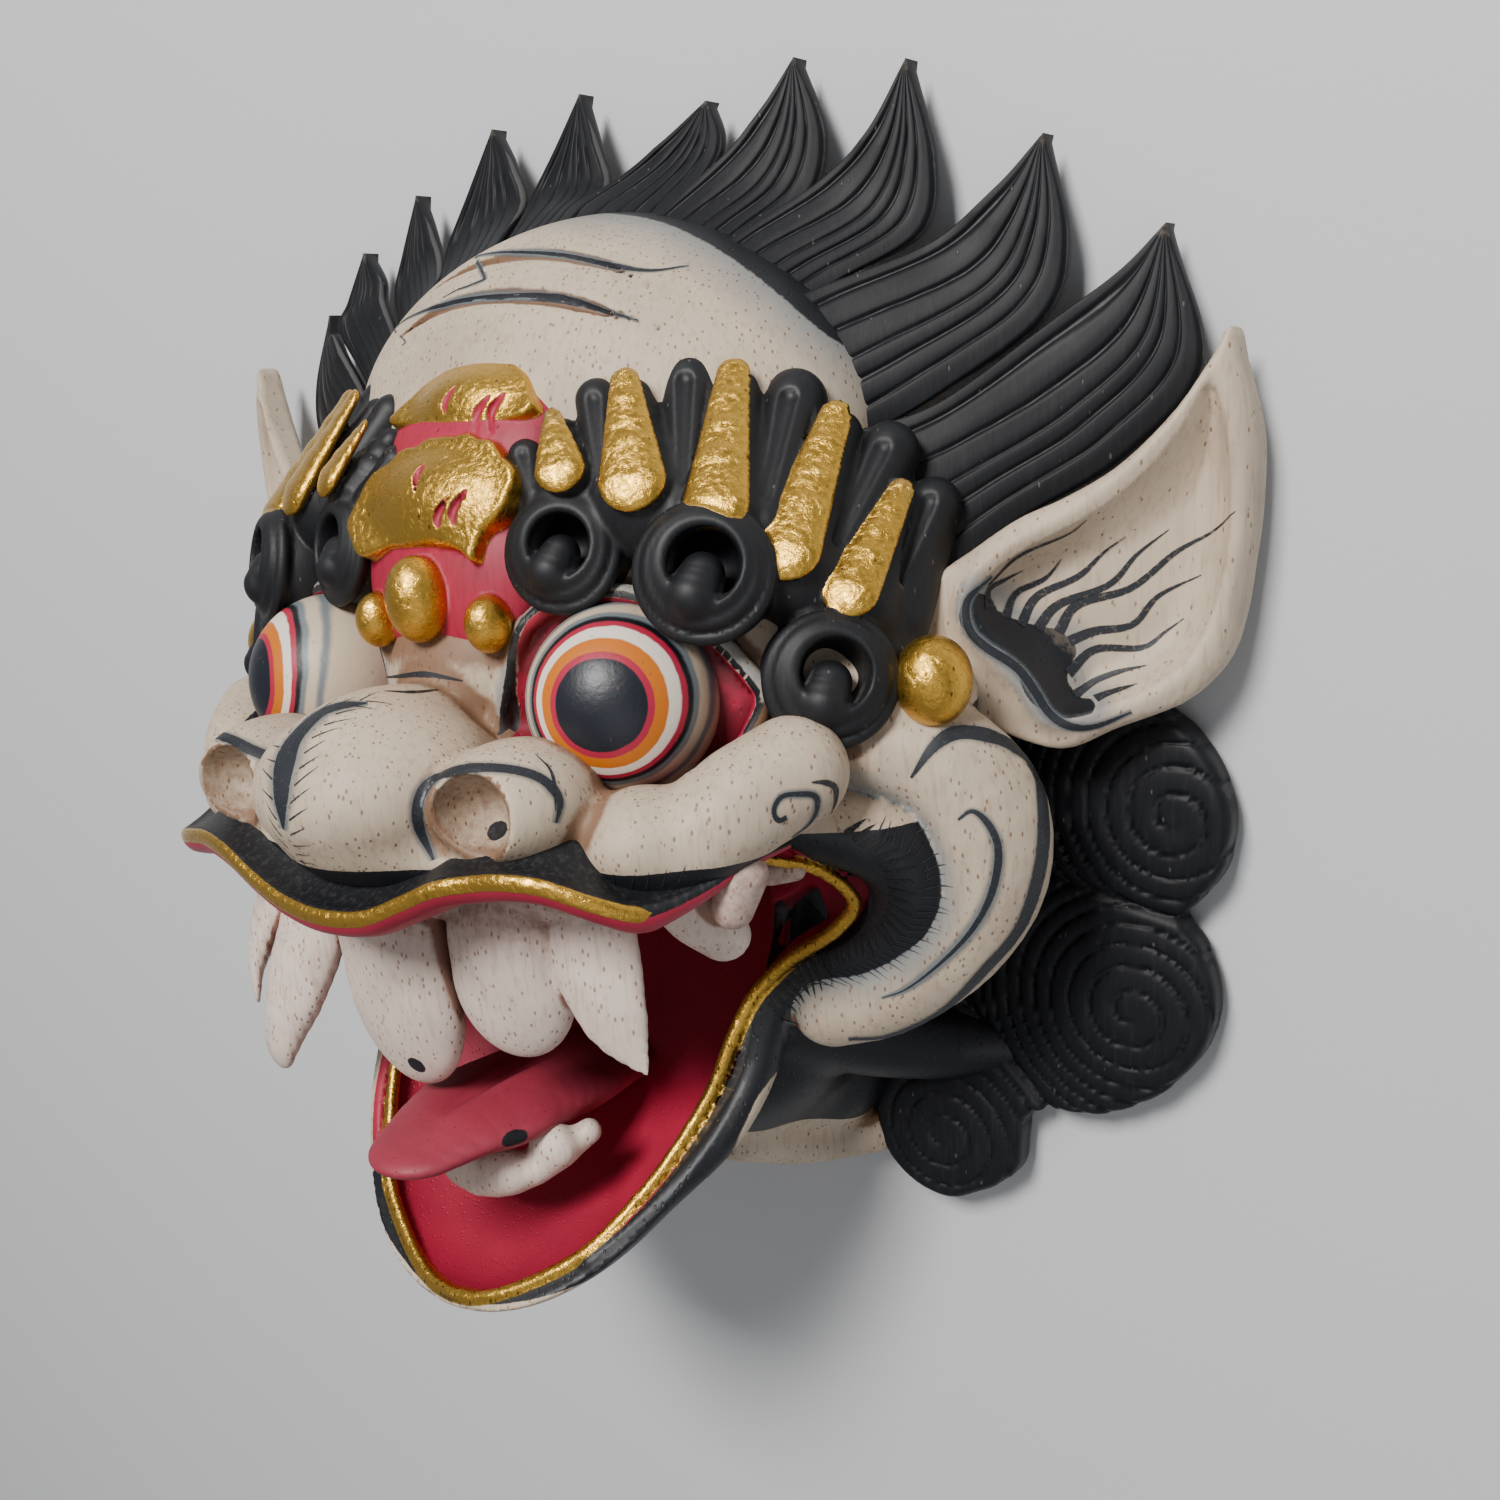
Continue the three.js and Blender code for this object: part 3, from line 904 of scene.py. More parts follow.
@dataclass(frozen=True)
class CarvedFinish:
    """Painted carved wood: a ground colour whose hollows take stain and painted shade, and other paints laid
    over it.
    """

    name: str
    ground: Tint = IVORY
    # colour of the grain streaks, the pores and the hollows: stain, and painted shade in the hollows (dust on
    # black grounds)
    stain_and_shade: Tint = BROWN_STAIN_AND_SHADE
    layers: tuple[Layer, ...] = ()
    roughness: float = 0.55
    pores: float = 0.3
    # how far the stain and painted shade of the hollows spread
    stain_and_shade_reach: float = 0.35
    washed: bool = False
    edge: float = 0.12
    streaks: float = 0.3
    gloss: float = 0.5

    def build(self, effects: Effects) -> Material:
        """The finish as a material.

        Args:
            effects: the shared effects.

        Returns:
            The material.
        """
        material, shader = start_material(self.name)
        hollow, proud = shader.measure("hollow"), shader.measure("proud")
        creases = effects.use(shader, effects.creases, Hollow=hollow, Reach=self.stain_and_shade_reach).outputs[0]
        pores = effects.use(shader, effects.pores, Share=self.pores).outputs[0]
        grain = effects.use(shader, effects.grain)
        rubbed = effects.use(shader, effects.edges, Proud=proud, Reach=0.25).outputs[0]
        mottle = shader.noise(26.0, 4.0)

        dull = tuple(c * 0.80 for c in self.ground[:3]) + (1.0,)
        colour = shader.mix(shader.step(mottle, 0.35, 0.7), self.ground, dull)
        colour = shader.mix(
            shader.math("MULTIPLY", shader.step(grain.outputs[0], 0.46, 0.75), self.streaks), colour,
            self.stain_and_shade,
        )
        if self.washed:
            wash = shader.math("MULTIPLY", shader.measure("wash"), 0.85)
            colour = shader.mix(wash, colour, WASH)
        colour = shader.mix(shader.math("MULTIPLY", pores, 0.75), colour, self.stain_and_shade)
        # dirt and painted shade: the ground takes the stain colour in the carving's hollows; on black grounds
        # this is dust
        colour = shader.mix(shader.math("MULTIPLY", creases, 0.85), colour, self.stain_and_shade)
        rough = shader.blend(mottle, self.roughness - 0.06, self.roughness + 0.1)
        height = shader.math("MULTIPLY_ADD", grain.outputs[1], 0.25, shader.math("MULTIPLY", pores, -0.5))
        metallic = None
        for layer in self.layers:
            fuzz = shader.math("MULTIPLY_ADD", shader.noise(1.5, 4.0, 0.7), 0.5, -0.25)
            mask = shader.step(shader.math("ADD", shader.measure(layer.value), fuzz), self.edge, -self.edge)
            if layer is Layer.CRIMSON:
                over = shader.mix(shader.step(mottle, 0.3, 0.8), CRIMSON, shade(142, 22, 48))
                # painted shade: the red turns deep red in the carving's hollows
                over = shader.mix(shader.math("MULTIPLY", creases, 0.55), over, shade(64, 12, 18))
                over_rough = 0.5
            elif layer is Layer.BLACK:
                over = shader.mix(shader.step(mottle, 0.35, 0.75), BLACK, shade(22, 24, 30))
                over = shader.mix(shader.math("MULTIPLY", creases, 0.45), over, DUST)
                over_rough = 0.48
            else:
                leaf = effects.use(shader, effects.leaf)
                worn = shader.math("MULTIPLY", leaf.outputs[0], 0.5)
                over = shader.mix(worn, GOLD, shade(120, 76, 24))
                over = shader.mix(shader.math("MULTIPLY", pores, 0.8), over, shade(60, 40, 20))
                # dirt and painted shade: the gold turns dark brown in the carving's hollows
                over = shader.mix(shader.math("MULTIPLY", creases, 0.6), over, shade(70, 44, 20))
                over_rough = shader.blend(leaf.outputs[1], 0.16, 0.42)
                metallic = shader.math("MULTIPLY", mask, 0.95)
                height = shader.blend(mask, height, shader.math("MULTIPLY", leaf.outputs[1], 1.5))
            colour = shader.mix(mask, colour, over)
            rough = shader.blend(mask, rough, over_rough)
            if layer is not Layer.GOLD and metallic is not None:
                metallic = shader.blend(mask, metallic, 0.0)
        colour = shader.mix(shader.math("MULTIPLY", rubbed, 0.12), colour, IVORY)
        surface = shader.surface(colour, rough, (0.55, 0.4, height))
        surface.inputs["Specular IOR Level"].default_value = self.gloss
        if metallic is not None:
            shader.tree.links.new(metallic, surface.inputs["Metallic"])
        return material


# --- face


def paint(skin: Skin, layer: Layer, measure: Array) -> None:
    """Lays a paint on a skin where its measure, in mm, is below nought."""
    skin.measures[layer.value] = np.clip(measure, -8, 8)


@dataclass
class Face:
    """Skull, muzzle, cheeks and jaw: the ivory carving with its red mouth and gilded rim."""

    step: float = 1.3
    jaw_at: Point = (0, -84, 68)
    jaw_drop: float = 47.5
    jaw_radii: Point = (58.5, 79.5, 31)
    jaw_wall: float = 4.8
    jaw_lip: float = 3.0
    split_y: float = -38.0
    mouth_corner: tuple[Flat, ...] = (
        (50, -34), (76, -33), (82.5, -38), (86, -49), (80, -57.5), (67, -66.5), (58, -76), (44, -80),
        (40, -55),
    )

    def jaw(self, inset: float, sink: float) -> Form:
        """The jaw's bowl, shrunk all round by inset and cut off sink mm below its middle plane.

        Args:
            inset: how far the bowl is shrunk.
            sink: how far below its middle it is cut off.

        Returns:
            The form.
        """
        width, length, depth = (r - inset for r in self.jaw_radii)
        bowl = Ellipsoid(self.jaw_at, (width, depth, length), turning(pitch=self.jaw_drop))
        drop = math.radians(self.jaw_drop)
        normal = Vector((0, math.cos(drop), math.sin(drop)))
        return Carved(bowl, (Slab(tuple(Vector(self.jaw_at) - normal * sink), tuple(-normal)), 1.0))

    def cheek(self) -> Form:
        """The broad ivory sickle of the cheek.

        Returns:
            The form.
        """
        path = [
            (84, -15, 62), (99, -19, 54), (107.5, -31, 50), (106.5, -46, 48), (98, -61, 49), (84, -74, 52),
            (72, -79, 56),
        ]
        return Strand(path, [11, 13, 14.5, 14.5, 13.5, 12, 10.5], count=24)

    def band(self) -> Form:
        """The black nicked band round the corner of the mouth and down the jaw.

        Returns:
            The form.
        """
        path = [
            (78, -29, 76), (92, -36, 63), (95, -49, 57), (85, -62, 55), (69, -69, 57), (59, -80, 63),
            (57.5, -95, 69.5), (54.5, -107, 80), (46.5, -117.5, 92), (33, -130, 105),
        ]
        return Strand(path, [7, 9.5, 10, 9, 7.5, 6, 4.5, 3.5, 2.5, 2], count=30)

    def beard_root(self) -> Form:
        """The black mass that sweeps from the jaw into the beard.

        Returns:
            The form.
        """
        return Strand(
            [(52, -92, 46), (64, -102, 26), (78, -107, 10), (94, -107, 2)], [9, 10, 10, 8], count=12
        )

    def jowl(self) -> Form:
        """The ivory lobe behind the chin, close to the wall."""
        return Strand([(30, -130, 40), (38, -138, 22), (53, -139, 9)], [8, 7.5, 6], count=8)

    def rim(self) -> Form:
        """The gilded bead round the mouth's lower edge.

        Returns:
            The form.
        """
        path = [
            (76, -35, 86), (82, -40, 75), (85.5, -49, 67), (79.5, -57, 66), (67, -66, 66), (58.5, -75, 68),
            (54, -85.5, 72.3), (51.3, -96.3, 77.6), (47.4, -106.4, 85), (42, -116.5, 93.5), (33, -128, 104),
            (21, -136, 111), (9, -141, 116), (0, -142, 117.5),
        ]
        return Strand(path, [1.2, 1.9, 1.9, 1.7, 1.6, 1.5], count=60)

    def hairline(self) -> list[Flat]:
        """The edge of the ivory forehead, seen from the front.

        Returns:
            Its corners, in x and y.
        """
        edge = [
            (-70, 62), (-64, 80), (-56, 92), (-40, 100), (-24, 103), (-3, 103.5), (21, 99.5), (39, 92.5),
            (55, 82.5),
        ]
        return edge + [(68, 70.5), (78.5, 57), (81, 40), (60, 0), (-60, 0)]

    def eye_frame(self) -> Form:
        """The raised almond rim round the eye.

        Returns:
            The form.
        """
        path = [
            (18, 3, 95), (22, 12.5, 94), (28, 17.5, 91), (39, 20, 88), (50, 19, 86), (60, 15, 84),
            (66.5, 8, 81), (73.5, -2, 78), (71.5, -7.5, 79), (68, -14, 81), (61, -21, 84), (46, -25, 88),
            (30, -22, 92), (16, -12, 97),
        ]
        return Strand(path, [2.2], count=30, closed=True)

    def outer(self) -> Form:
        """Everything but the cheek sickle, before the mouth and the nostrils are cut.

        Returns:
            The form.
        """
        roll = [(34, -28, 100), (50, -30, 103), (66, -28.5, 101), (76, -21, 94), (83, -16, 84)]
        right = Union(
            (Ellipsoid((0, 38, 22), (73, 65, 62)), 1.0), (Ellipsoid((0, 50, 30), (76, 50, 48)), 6.0),
            (Ellipsoid((0, -8, 38), (92, 66, 50)), 10.0), (Ellipsoid((0, -118, 14), (60, 30, 26)), 4.0),
            (Ellipsoid((0, -96, 34), (62, 42, 36)), 8.0), (Ellipsoid((86, -46, 40), (24, 34, 20)), 4.0),
            (Ellipsoid((86, -8, 50), (20, 16, 20)), 6.0), (Ellipsoid((0, 14, 68), (64, 22, 24)), 8.0),
            (self.beard_root(), 3.0), (self.jowl(), 3.0), (Ellipsoid((0, 2, 82), (24, 20, 21)), 8.0),
            (Ellipsoid((0, -26, 86), (52, 16, 44)), 8.0), (Ellipsoid((0, -30, 108), (54, 11, 24)), 5.0),
            (Ellipsoid((0, -17, 119), (27, 18, 26)), 4.0), (Ellipsoid((0, -27, 118), (24, 11, 20)), 5.0),
            (Ellipsoid((0, -6, 116), (13, 9, 20)), 4.0), (Ellipsoid((37, -18, 116), (16.5, 12.5, 19)), 3.0),
            (Ellipsoid((60, -27, 105), (13, 11, 13)), 4.0), (Ellipsoid((50, -4, 64), (38, 26, 16)), 4.0),
            (Ellipsoid((45, -2, 75.5), (37, 25, 11), turning(yaw=16)), 2.0),
            (Strand(roll, [8, 10, 11, 11.5, 11.5]), 3.0), (self.jaw(0, self.jaw_lip), 5.0),
            (self.band(), 2.0), (self.eye_frame(), 1.2),
        )
        return Mirrored(right)

    def mouth(self) -> Form:
        """The space of the open mouth.

        Returns:
            The form.
        """
        return Mirrored(
            Union(
                (self.jaw(self.jaw_wall, 0), 1.0), (Ellipsoid((0, -54, 80), (93, 19, 42)), 3.0),
                (Ellipsoid((0, -62, 88), (76, 24, 52)), 4.0), (Ellipsoid((0, -84, 104), (53, 36, 50)), 6.0),
            )
        )

    def build(self, effects: Effects) -> Piece:
        """Builds the carving's pieces and lays their paints.

        Args:
            effects: the shared effects.

        Returns:
            The whole carving as one object, for painted lines to lie on; it is not a piece.
        """
        outer, mouth, cheek = self.outer(), self.mouth(), Mirrored(self.cheek())
        nostrils = Mirrored(Union(
            (Ellipsoid((38, -17.5, 133), (9.5, 8.5, 15), turning(yaw=16, pitch=-8)), 1.0),
            (Ellipsoid((37, -24, 136), (5, 7, 10)), 3.0),
        ))
        slit = Mirrored(Strand([(66.5, -1.5, 82), (70.5, -3.2, 80)], [1.7, 0.8], count=3))
        folds = [Strand(path, [0.5, 1.2, 1.4, 1.0, 0.4], count=16) for path in self.creases()]
        back = Ellipsoid((0, 6, -8), (62, 76, 66))
        rim = Mirrored(self.rim())
        carved = Carved(
            Union((outer, 1.0), (cheek, 1.0)), (mouth, 1.5), (nostrils, 2.0), (slit, 1.0),
            *[(fold, 2.5) for fold in folds], (back, 1.0), (Slab((0, 0, 0), (0, 0, 1)), 0.5),
        )
        solid = Union((carved, 0.5), (rim, 0.8))
        skin = polygonise(solid, self.step, (-128, -168, 0), (128, 108, 150))
        p = skin.points
        side = np.abs(p[:, 0])
        c, u = mouth.distance(p), Union((outer, 1.0), (cheek, 1.0)).distance(p)
        d_cheek, d_outer = cheek.distance(p), outer.distance(p)
        above, below = np.clip((p[:, 1] + 98) / 26, 0, 1), np.clip((-28 - p[:, 1]) / 6, 0, 1)
        width = 3.0 + 5.5 * np.clip((p[:, 1] + 140) / 20, 0, 1) + 8 * above * below
        band = np.where(p[:, 0] > -40, c - width, 8.0 * (c > 0.5))
        band = np.maximum(band, p[:, 1] + 24 + 0.25 * (side - 74))
        band = np.where(nostrils.distance(p) < 1.0, 8.0, band)
        flank = np.maximum.reduce(
            [p[:, 2] - np.where(side > 38, 64, 50), p[:, 1] + 8, -122 - 0.42 * (side - 33) - p[:, 1]]
        )
        root = Mirrored(self.beard_root()).distance(p) - 0.8
        forehead = Plate(curve_through(self.hairline(), 90, closed=True), 0, 1)
        crown = np.where((p[:, 1] > 40) & (u > -1.5), -forehead.flat_distance(p), 8.0)
        dark = np.minimum.reduce([np.minimum(band, flank), root, crown])
        paint(skin, Layer.BLACK, np.maximum(dark, 0.5 - d_cheek))
        corner = Plate(curve_through(list(self.mouth_corner), 60, closed=True), 0, 1)
        lobe = (p[:, 1] > -70) & (side > 54)
        folded = np.abs(p * (1, 0, 0)) + p * (0, 1, 1)
        red = np.where(lobe, np.where(p[:, 2] < 84, corner.flat_distance(folded), c), c - 0.4)
        red = np.where((p[:, 0] < -40) & (p[:, 1] < -80), c - 3.0, red)
        lid = self.eye_red(p)
        paint(skin, Layer.CRIMSON, np.minimum(red, lid))
        paint(skin, Layer.GOLD, rim.distance(p) - 0.6)
        skin.measures["proud"] = skin.measures["proud"] * (c > 4)
        ring = np.where((p[:, 1] > -10) | (side > 64), np.abs(lid - 0.8) - 0.8, 8.0)
        skin.measures["black"] = np.minimum(skin.measures["black"], ring)
        halo = np.clip(1 - np.abs(lid - 2.2) / 1.6, 0, 1) * ((p[:, 1] > -6) | (side > 74))
        sickle = 1.1 * np.clip(1 - d_outer / 6, 0, 1) * (d_cheek < 0.8) * (p[:, 1] < -18)
        hairline = np.clip(1 - crown / 6, 0, 1) * (p[:, 1] > 40)
        # dirt and painted shade, added to the hollow measure: round the eyeballs, by the crest, inside the
        # nostrils, across the nose's bridge and in broad valleys, fainter on the cheek sickle
        ball = Mirrored(Ellipsoid((45, -2.3, 89.5), (20.6, 20.6, 20.6)))
        crest = Ellipsoid((0, 24, 90), (25, 22, 10), turning(pitch=-10))
        grime_and_shade = np.clip(1.3 - np.abs(ball.distance(p)) / 4.5, 0, 1)
        grime_and_shade = grime_and_shade + 0.8 * np.clip(1.2 - crest.distance(p) / 6, 0, 1)
        bridge = 0.5 * np.clip(1 - np.abs(p[:, 1] - 8) / 6, 0, 1) * (side < 24)
        grime_and_shade += 1.1 * np.clip(0.8 - nostrils.distance(p) / 2, 0, 1) + bridge
        valley = 1 - solid.distance((p + 5 * skin.normals).astype(np.float32)) / 5
        grime_and_shade += 1.5 * np.clip(valley - 0.06, 0, 0.6)
        fainter_hollows = np.where((side > 72) & (p[:, 1] < -16), 0.25, 1.0)
        skin.measures["hollow"] = fainter_hollows * (skin.measures["hollow"] * 1.3 + grime_and_shade * (c > 1))
        skin.measures["wash"] = np.maximum.reduce([sickle, halo, hairline])
        inner = (back.distance(p) < 0.6) | (p[:, 2] < 0.3)
        faces_inner = inner[skin.quads].all(axis=1)
        low = (p[:, 1] < self.split_y)[skin.quads].all(axis=1)
        layers = (Layer.BLACK, Layer.CRIMSON, Layer.GOLD)
        finish = CarvedFinish("Painted face", layers=layers, pores=0.8, stain_and_shade_reach=0.5, washed=True)
        finish = finish.build(effects)
        upper = make_object("face_upper", skin.part(~low & ~faces_inner), finish)
        lower = make_object("face_lower", skin.part(low & ~faces_inner), finish)
        wood = CarvedFinish("Bare wood", ground=WOOD, stain_and_shade=shade(60, 40, 26), pores=0.6).build(effects)
        shell = make_object("back_hollow", skin.part(faces_inner), wood)
        declare(upper, "ivory_paint", "head")
        declare(lower, "ivory_paint")
        declare(shell, "ivory_paint")
        return make_object("guide", skin, finish)

    def creases(self) -> list[list[Point]]:
        """The furrows of the forehead, on its surface.

        Returns:
            The path of each furrow.
        """
        upper = [(-40, 83), (-22, 90.5), (0, 92.5), (20, 89), (40, 80)]
        lower = [(-36, 76), (-18, 82.5), (2, 83.5), (22, 80), (42, 72)]
        skull = Ellipsoid((0, 38, 22), (73, 65, 62))
        paths = []
        for path in (upper, lower):
            places = []
            for x, y in path:
                q = (x / skull.radii[0]) ** 2 + ((y - 38) / skull.radii[1]) ** 2
                places.append((x, y, 22 + skull.radii[2] * math.sqrt(max(1 - q, 0)) + 0.8))
            paths.append(places)
        return paths

    def eye_red(self, points: Array) -> Array:
        """How far points lie outside the red round the eyes.

        Args:
            points: N by 3 places.

        Returns:
            N distances, negative within the red.
        """
        outline = [
            (18.5, -10), (20.5, 3.5), (23.5, 12.5), (28, 17), (39, 19.5), (49.5, 18.5), (59.5, 14.5),
            (66, 7.5), (72.5, -2), (70.5, -7.5), (67, -14), (60, -20), (50, -17), (34, -15), (24, -16),
        ]
        almond = Plate(curve_through(outline, 60, closed=True), 70, 110)
        near = (np.abs(points[:, 1]) < 30) & (points[:, 2] > 60) & (points[:, 2] < 100.5)
        out = np.full(len(points), 8.0, dtype=np.float32)
        folded = np.abs(points[near] * (1, 0, 0)) + points[near] * (0, 1, 1)
        out[near] = almond.flat_distance(folded)
        return out


@dataclass
class Eyes:
    """The bulging eyes with their painted rings."""

    at: Point = (45, -2.3, 89.5)
    radius: float = 20.6
    axis: Point = (0.42, 0.15, 0.895)
    rings: tuple[tuple[float, tuple], ...] = (
        (0.0, shade(20, 24, 34)), (9.5, CRIMSON), (10.8, ORANGE), (13.0, shade(226, 214, 200)),
        (14.6, CRIMSON), (15.5, BLACK), (16.4, WASH), (17.3, IVORY), (18.7, WASH), (19.5, IVORY),
    )

    def build(self, effects: Effects) -> None:
        """Builds both eyes.

        Args:
            effects: the shared surface effects.
        """
        ball = Ellipsoid(self.at, (self.radius,) * 3)
        skin = polygonise(Mirrored(ball), 1.0)
        folded = skin.points.astype(float)
        folded[:, 0] = np.abs(folded[:, 0])
        q = folded - self.at
        along = q @ self.axis
        rho = np.sqrt(np.maximum((q * q).sum(axis=1) - along**2, 0))
        rho = np.where(along > 0, rho, 30.0)
        lean = (q[:, 1] * 0.8 + q[:, 0] * 0.6) / self.radius
        outward = np.clip((rho - 12) / 4, 0, 1)
        skin.measures["ring"] = rho - outward * 1.5 * np.clip(lean, -0.4, 1)
        finish = self.finish(effects)
        declare(make_object("eyes", skin, finish), "ivory_paint")

    def finish(self, effects: Effects) -> Material:
        """Glossy paint in rings, with hand-drawn edges.

        Args:
            effects: the shared surface effects.

        Returns:
            The material.
        """
        material, shader = start_material("Painted eye")
        wobble = shader.math("MULTIPLY_ADD", shader.noise(7.0, 3.0), 0.7, -0.35)
        ring = shader.math("ADD", shader.measure("ring"), wobble)
        colour = self.rings[0][1]
        for edge, tint in self.rings[1:]:
            soft = 0.3 if tint in (IVORY, WASH) else 0.14
            colour = shader.mix(shader.step(ring, edge - soft, edge + soft), colour, tint)
        hollow = shader.measure("hollow")
        creases = effects.use(shader, effects.creases, Hollow=hollow, Reach=0.35).outputs[0]
        pores = effects.use(shader, effects.pores, Share=0.12).outputs[0]
        colour = shader.mix(shader.math("MULTIPLY", pores, 0.4), colour, BROWN_STAIN_AND_SHADE)
        # dirt and painted shade: brown where the eyeball's skin is hollow
        colour = shader.mix(shader.math("MULTIPLY", creases, 0.7), colour, BROWN_STAIN_AND_SHADE)
        rough = shader.blend(shader.step(ring, 9.0, 10.0), 0.4, 0.48)
        shader.surface(colour, rough, (0.25, 0.3, shader.noise(1.2, 4.0)))
        return material


@dataclass
class Lip:
    """The thin upper lip: a black shelf with a gilded edge and a red underside."""

    half: tuple[Point, ...] = (
        (0, -40, 140), (12, -39, 139), (22, -35, 137), (30, -31.5, 135.5), (38, -30, 133), (46, -29, 132),
        (54, -29.8, 129.5), (63, -34, 124), (69, -37, 117), (75, -35, 107), (80, -31.5, 98), (84, -30, 88),
    )
    left: tuple[Point, ...] = (
        (-83, -30, 92), (-81, -33, 101), (-79, -36, 110), (-76, -37, 117), (-69, -35.5, 122), (-60, -33, 127),
        (-48, -31, 131), (-36, -32, 134.5), (-24, -36, 137), (-12, -39, 139),
    )
    section: tuple[Flat, ...] = (
        (-16, 10), (-10, 5.2), (-6, 2.6), (-3, 1.5), (-0.8, 1.3), (0.4, 0.6), (0.6, -0.8), (0.3, -2.3),
        (-0.7, -3.9), (-2.6, -5.2), (-8, -6.6), (-20, -7.5),
    )
    along: int = 260
    across: int = 36

    def build(self, effects: Effects) -> None:
        """Builds the lip.

        Args:
            effects: the shared surface effects.
        """
        path = curve_through(list(self.left) + list(self.half), self.along)
        section = curve_through(list(self.section), self.across)
        run = np.gradient(path, axis=0)
        run /= np.linalg.norm(run, axis=1)[:, None]
        out = np.stack([-run[:, 2], np.zeros(len(run)), run[:, 0]], axis=1)
        out /= np.linalg.norm(out, axis=1)[:, None]
        slim = np.clip((88 - np.abs(path[:, 0])) / 18, 0.25, 1)
        grid = path[:, None] + out[:, None] * section[None, :, :1] * slim[:, None, None]
        grid[:, :, 1] += section[None, :, 1] * slim[:, None]
        skin = sheet_skin(grid)
        edge = np.hypot(section[:, 0] - 0.3, section[:, 1] + 0.4) - 1.75
        under = np.where(section[:, 1] < -0.8, -1.0, 1.0) * np.abs(edge + 1)
        ends = np.clip(np.where(path[:, 0] > 0, path[:, 0] - 68, -80 - path[:, 0]), 0, 6)
        paint(skin, Layer.GOLD, (edge[None] + ends[:, None]).ravel())
        paint(skin, Layer.CRIMSON, np.tile(under, self.along))
        finish = CarvedFinish(
            "Painted lip", ground=BLACK, stain_and_shade=DUST, layers=(Layer.CRIMSON, Layer.GOLD), pores=0.0
        ).build(effects)
        declare(make_object("upper_lip", skin, finish), "black_paint")


def sheet_skin(grid: Array) -> Skin:
    """A skin over a grid of places, rows by columns, facing up where columns run to the left of rows.

    Args:
        grid: rows by columns of places.

    Returns:
        The skin.
    """
    rows, columns = grid.shape[:2]
    points = grid.reshape(-1, 3).astype(np.float32)
    i, j = np.meshgrid(np.arange(rows - 1), np.arange(columns - 1), indexing="ij")
    a = (i * columns + j).ravel()
    quads = np.stack([a, a + 1, a + columns + 1, a + columns], axis=1)
    skin = Skin(points, quads, None)
    skin.measures["hollow"] = np.zeros(len(points))
    skin.measures["proud"] = np.zeros(len(points))
    return skin


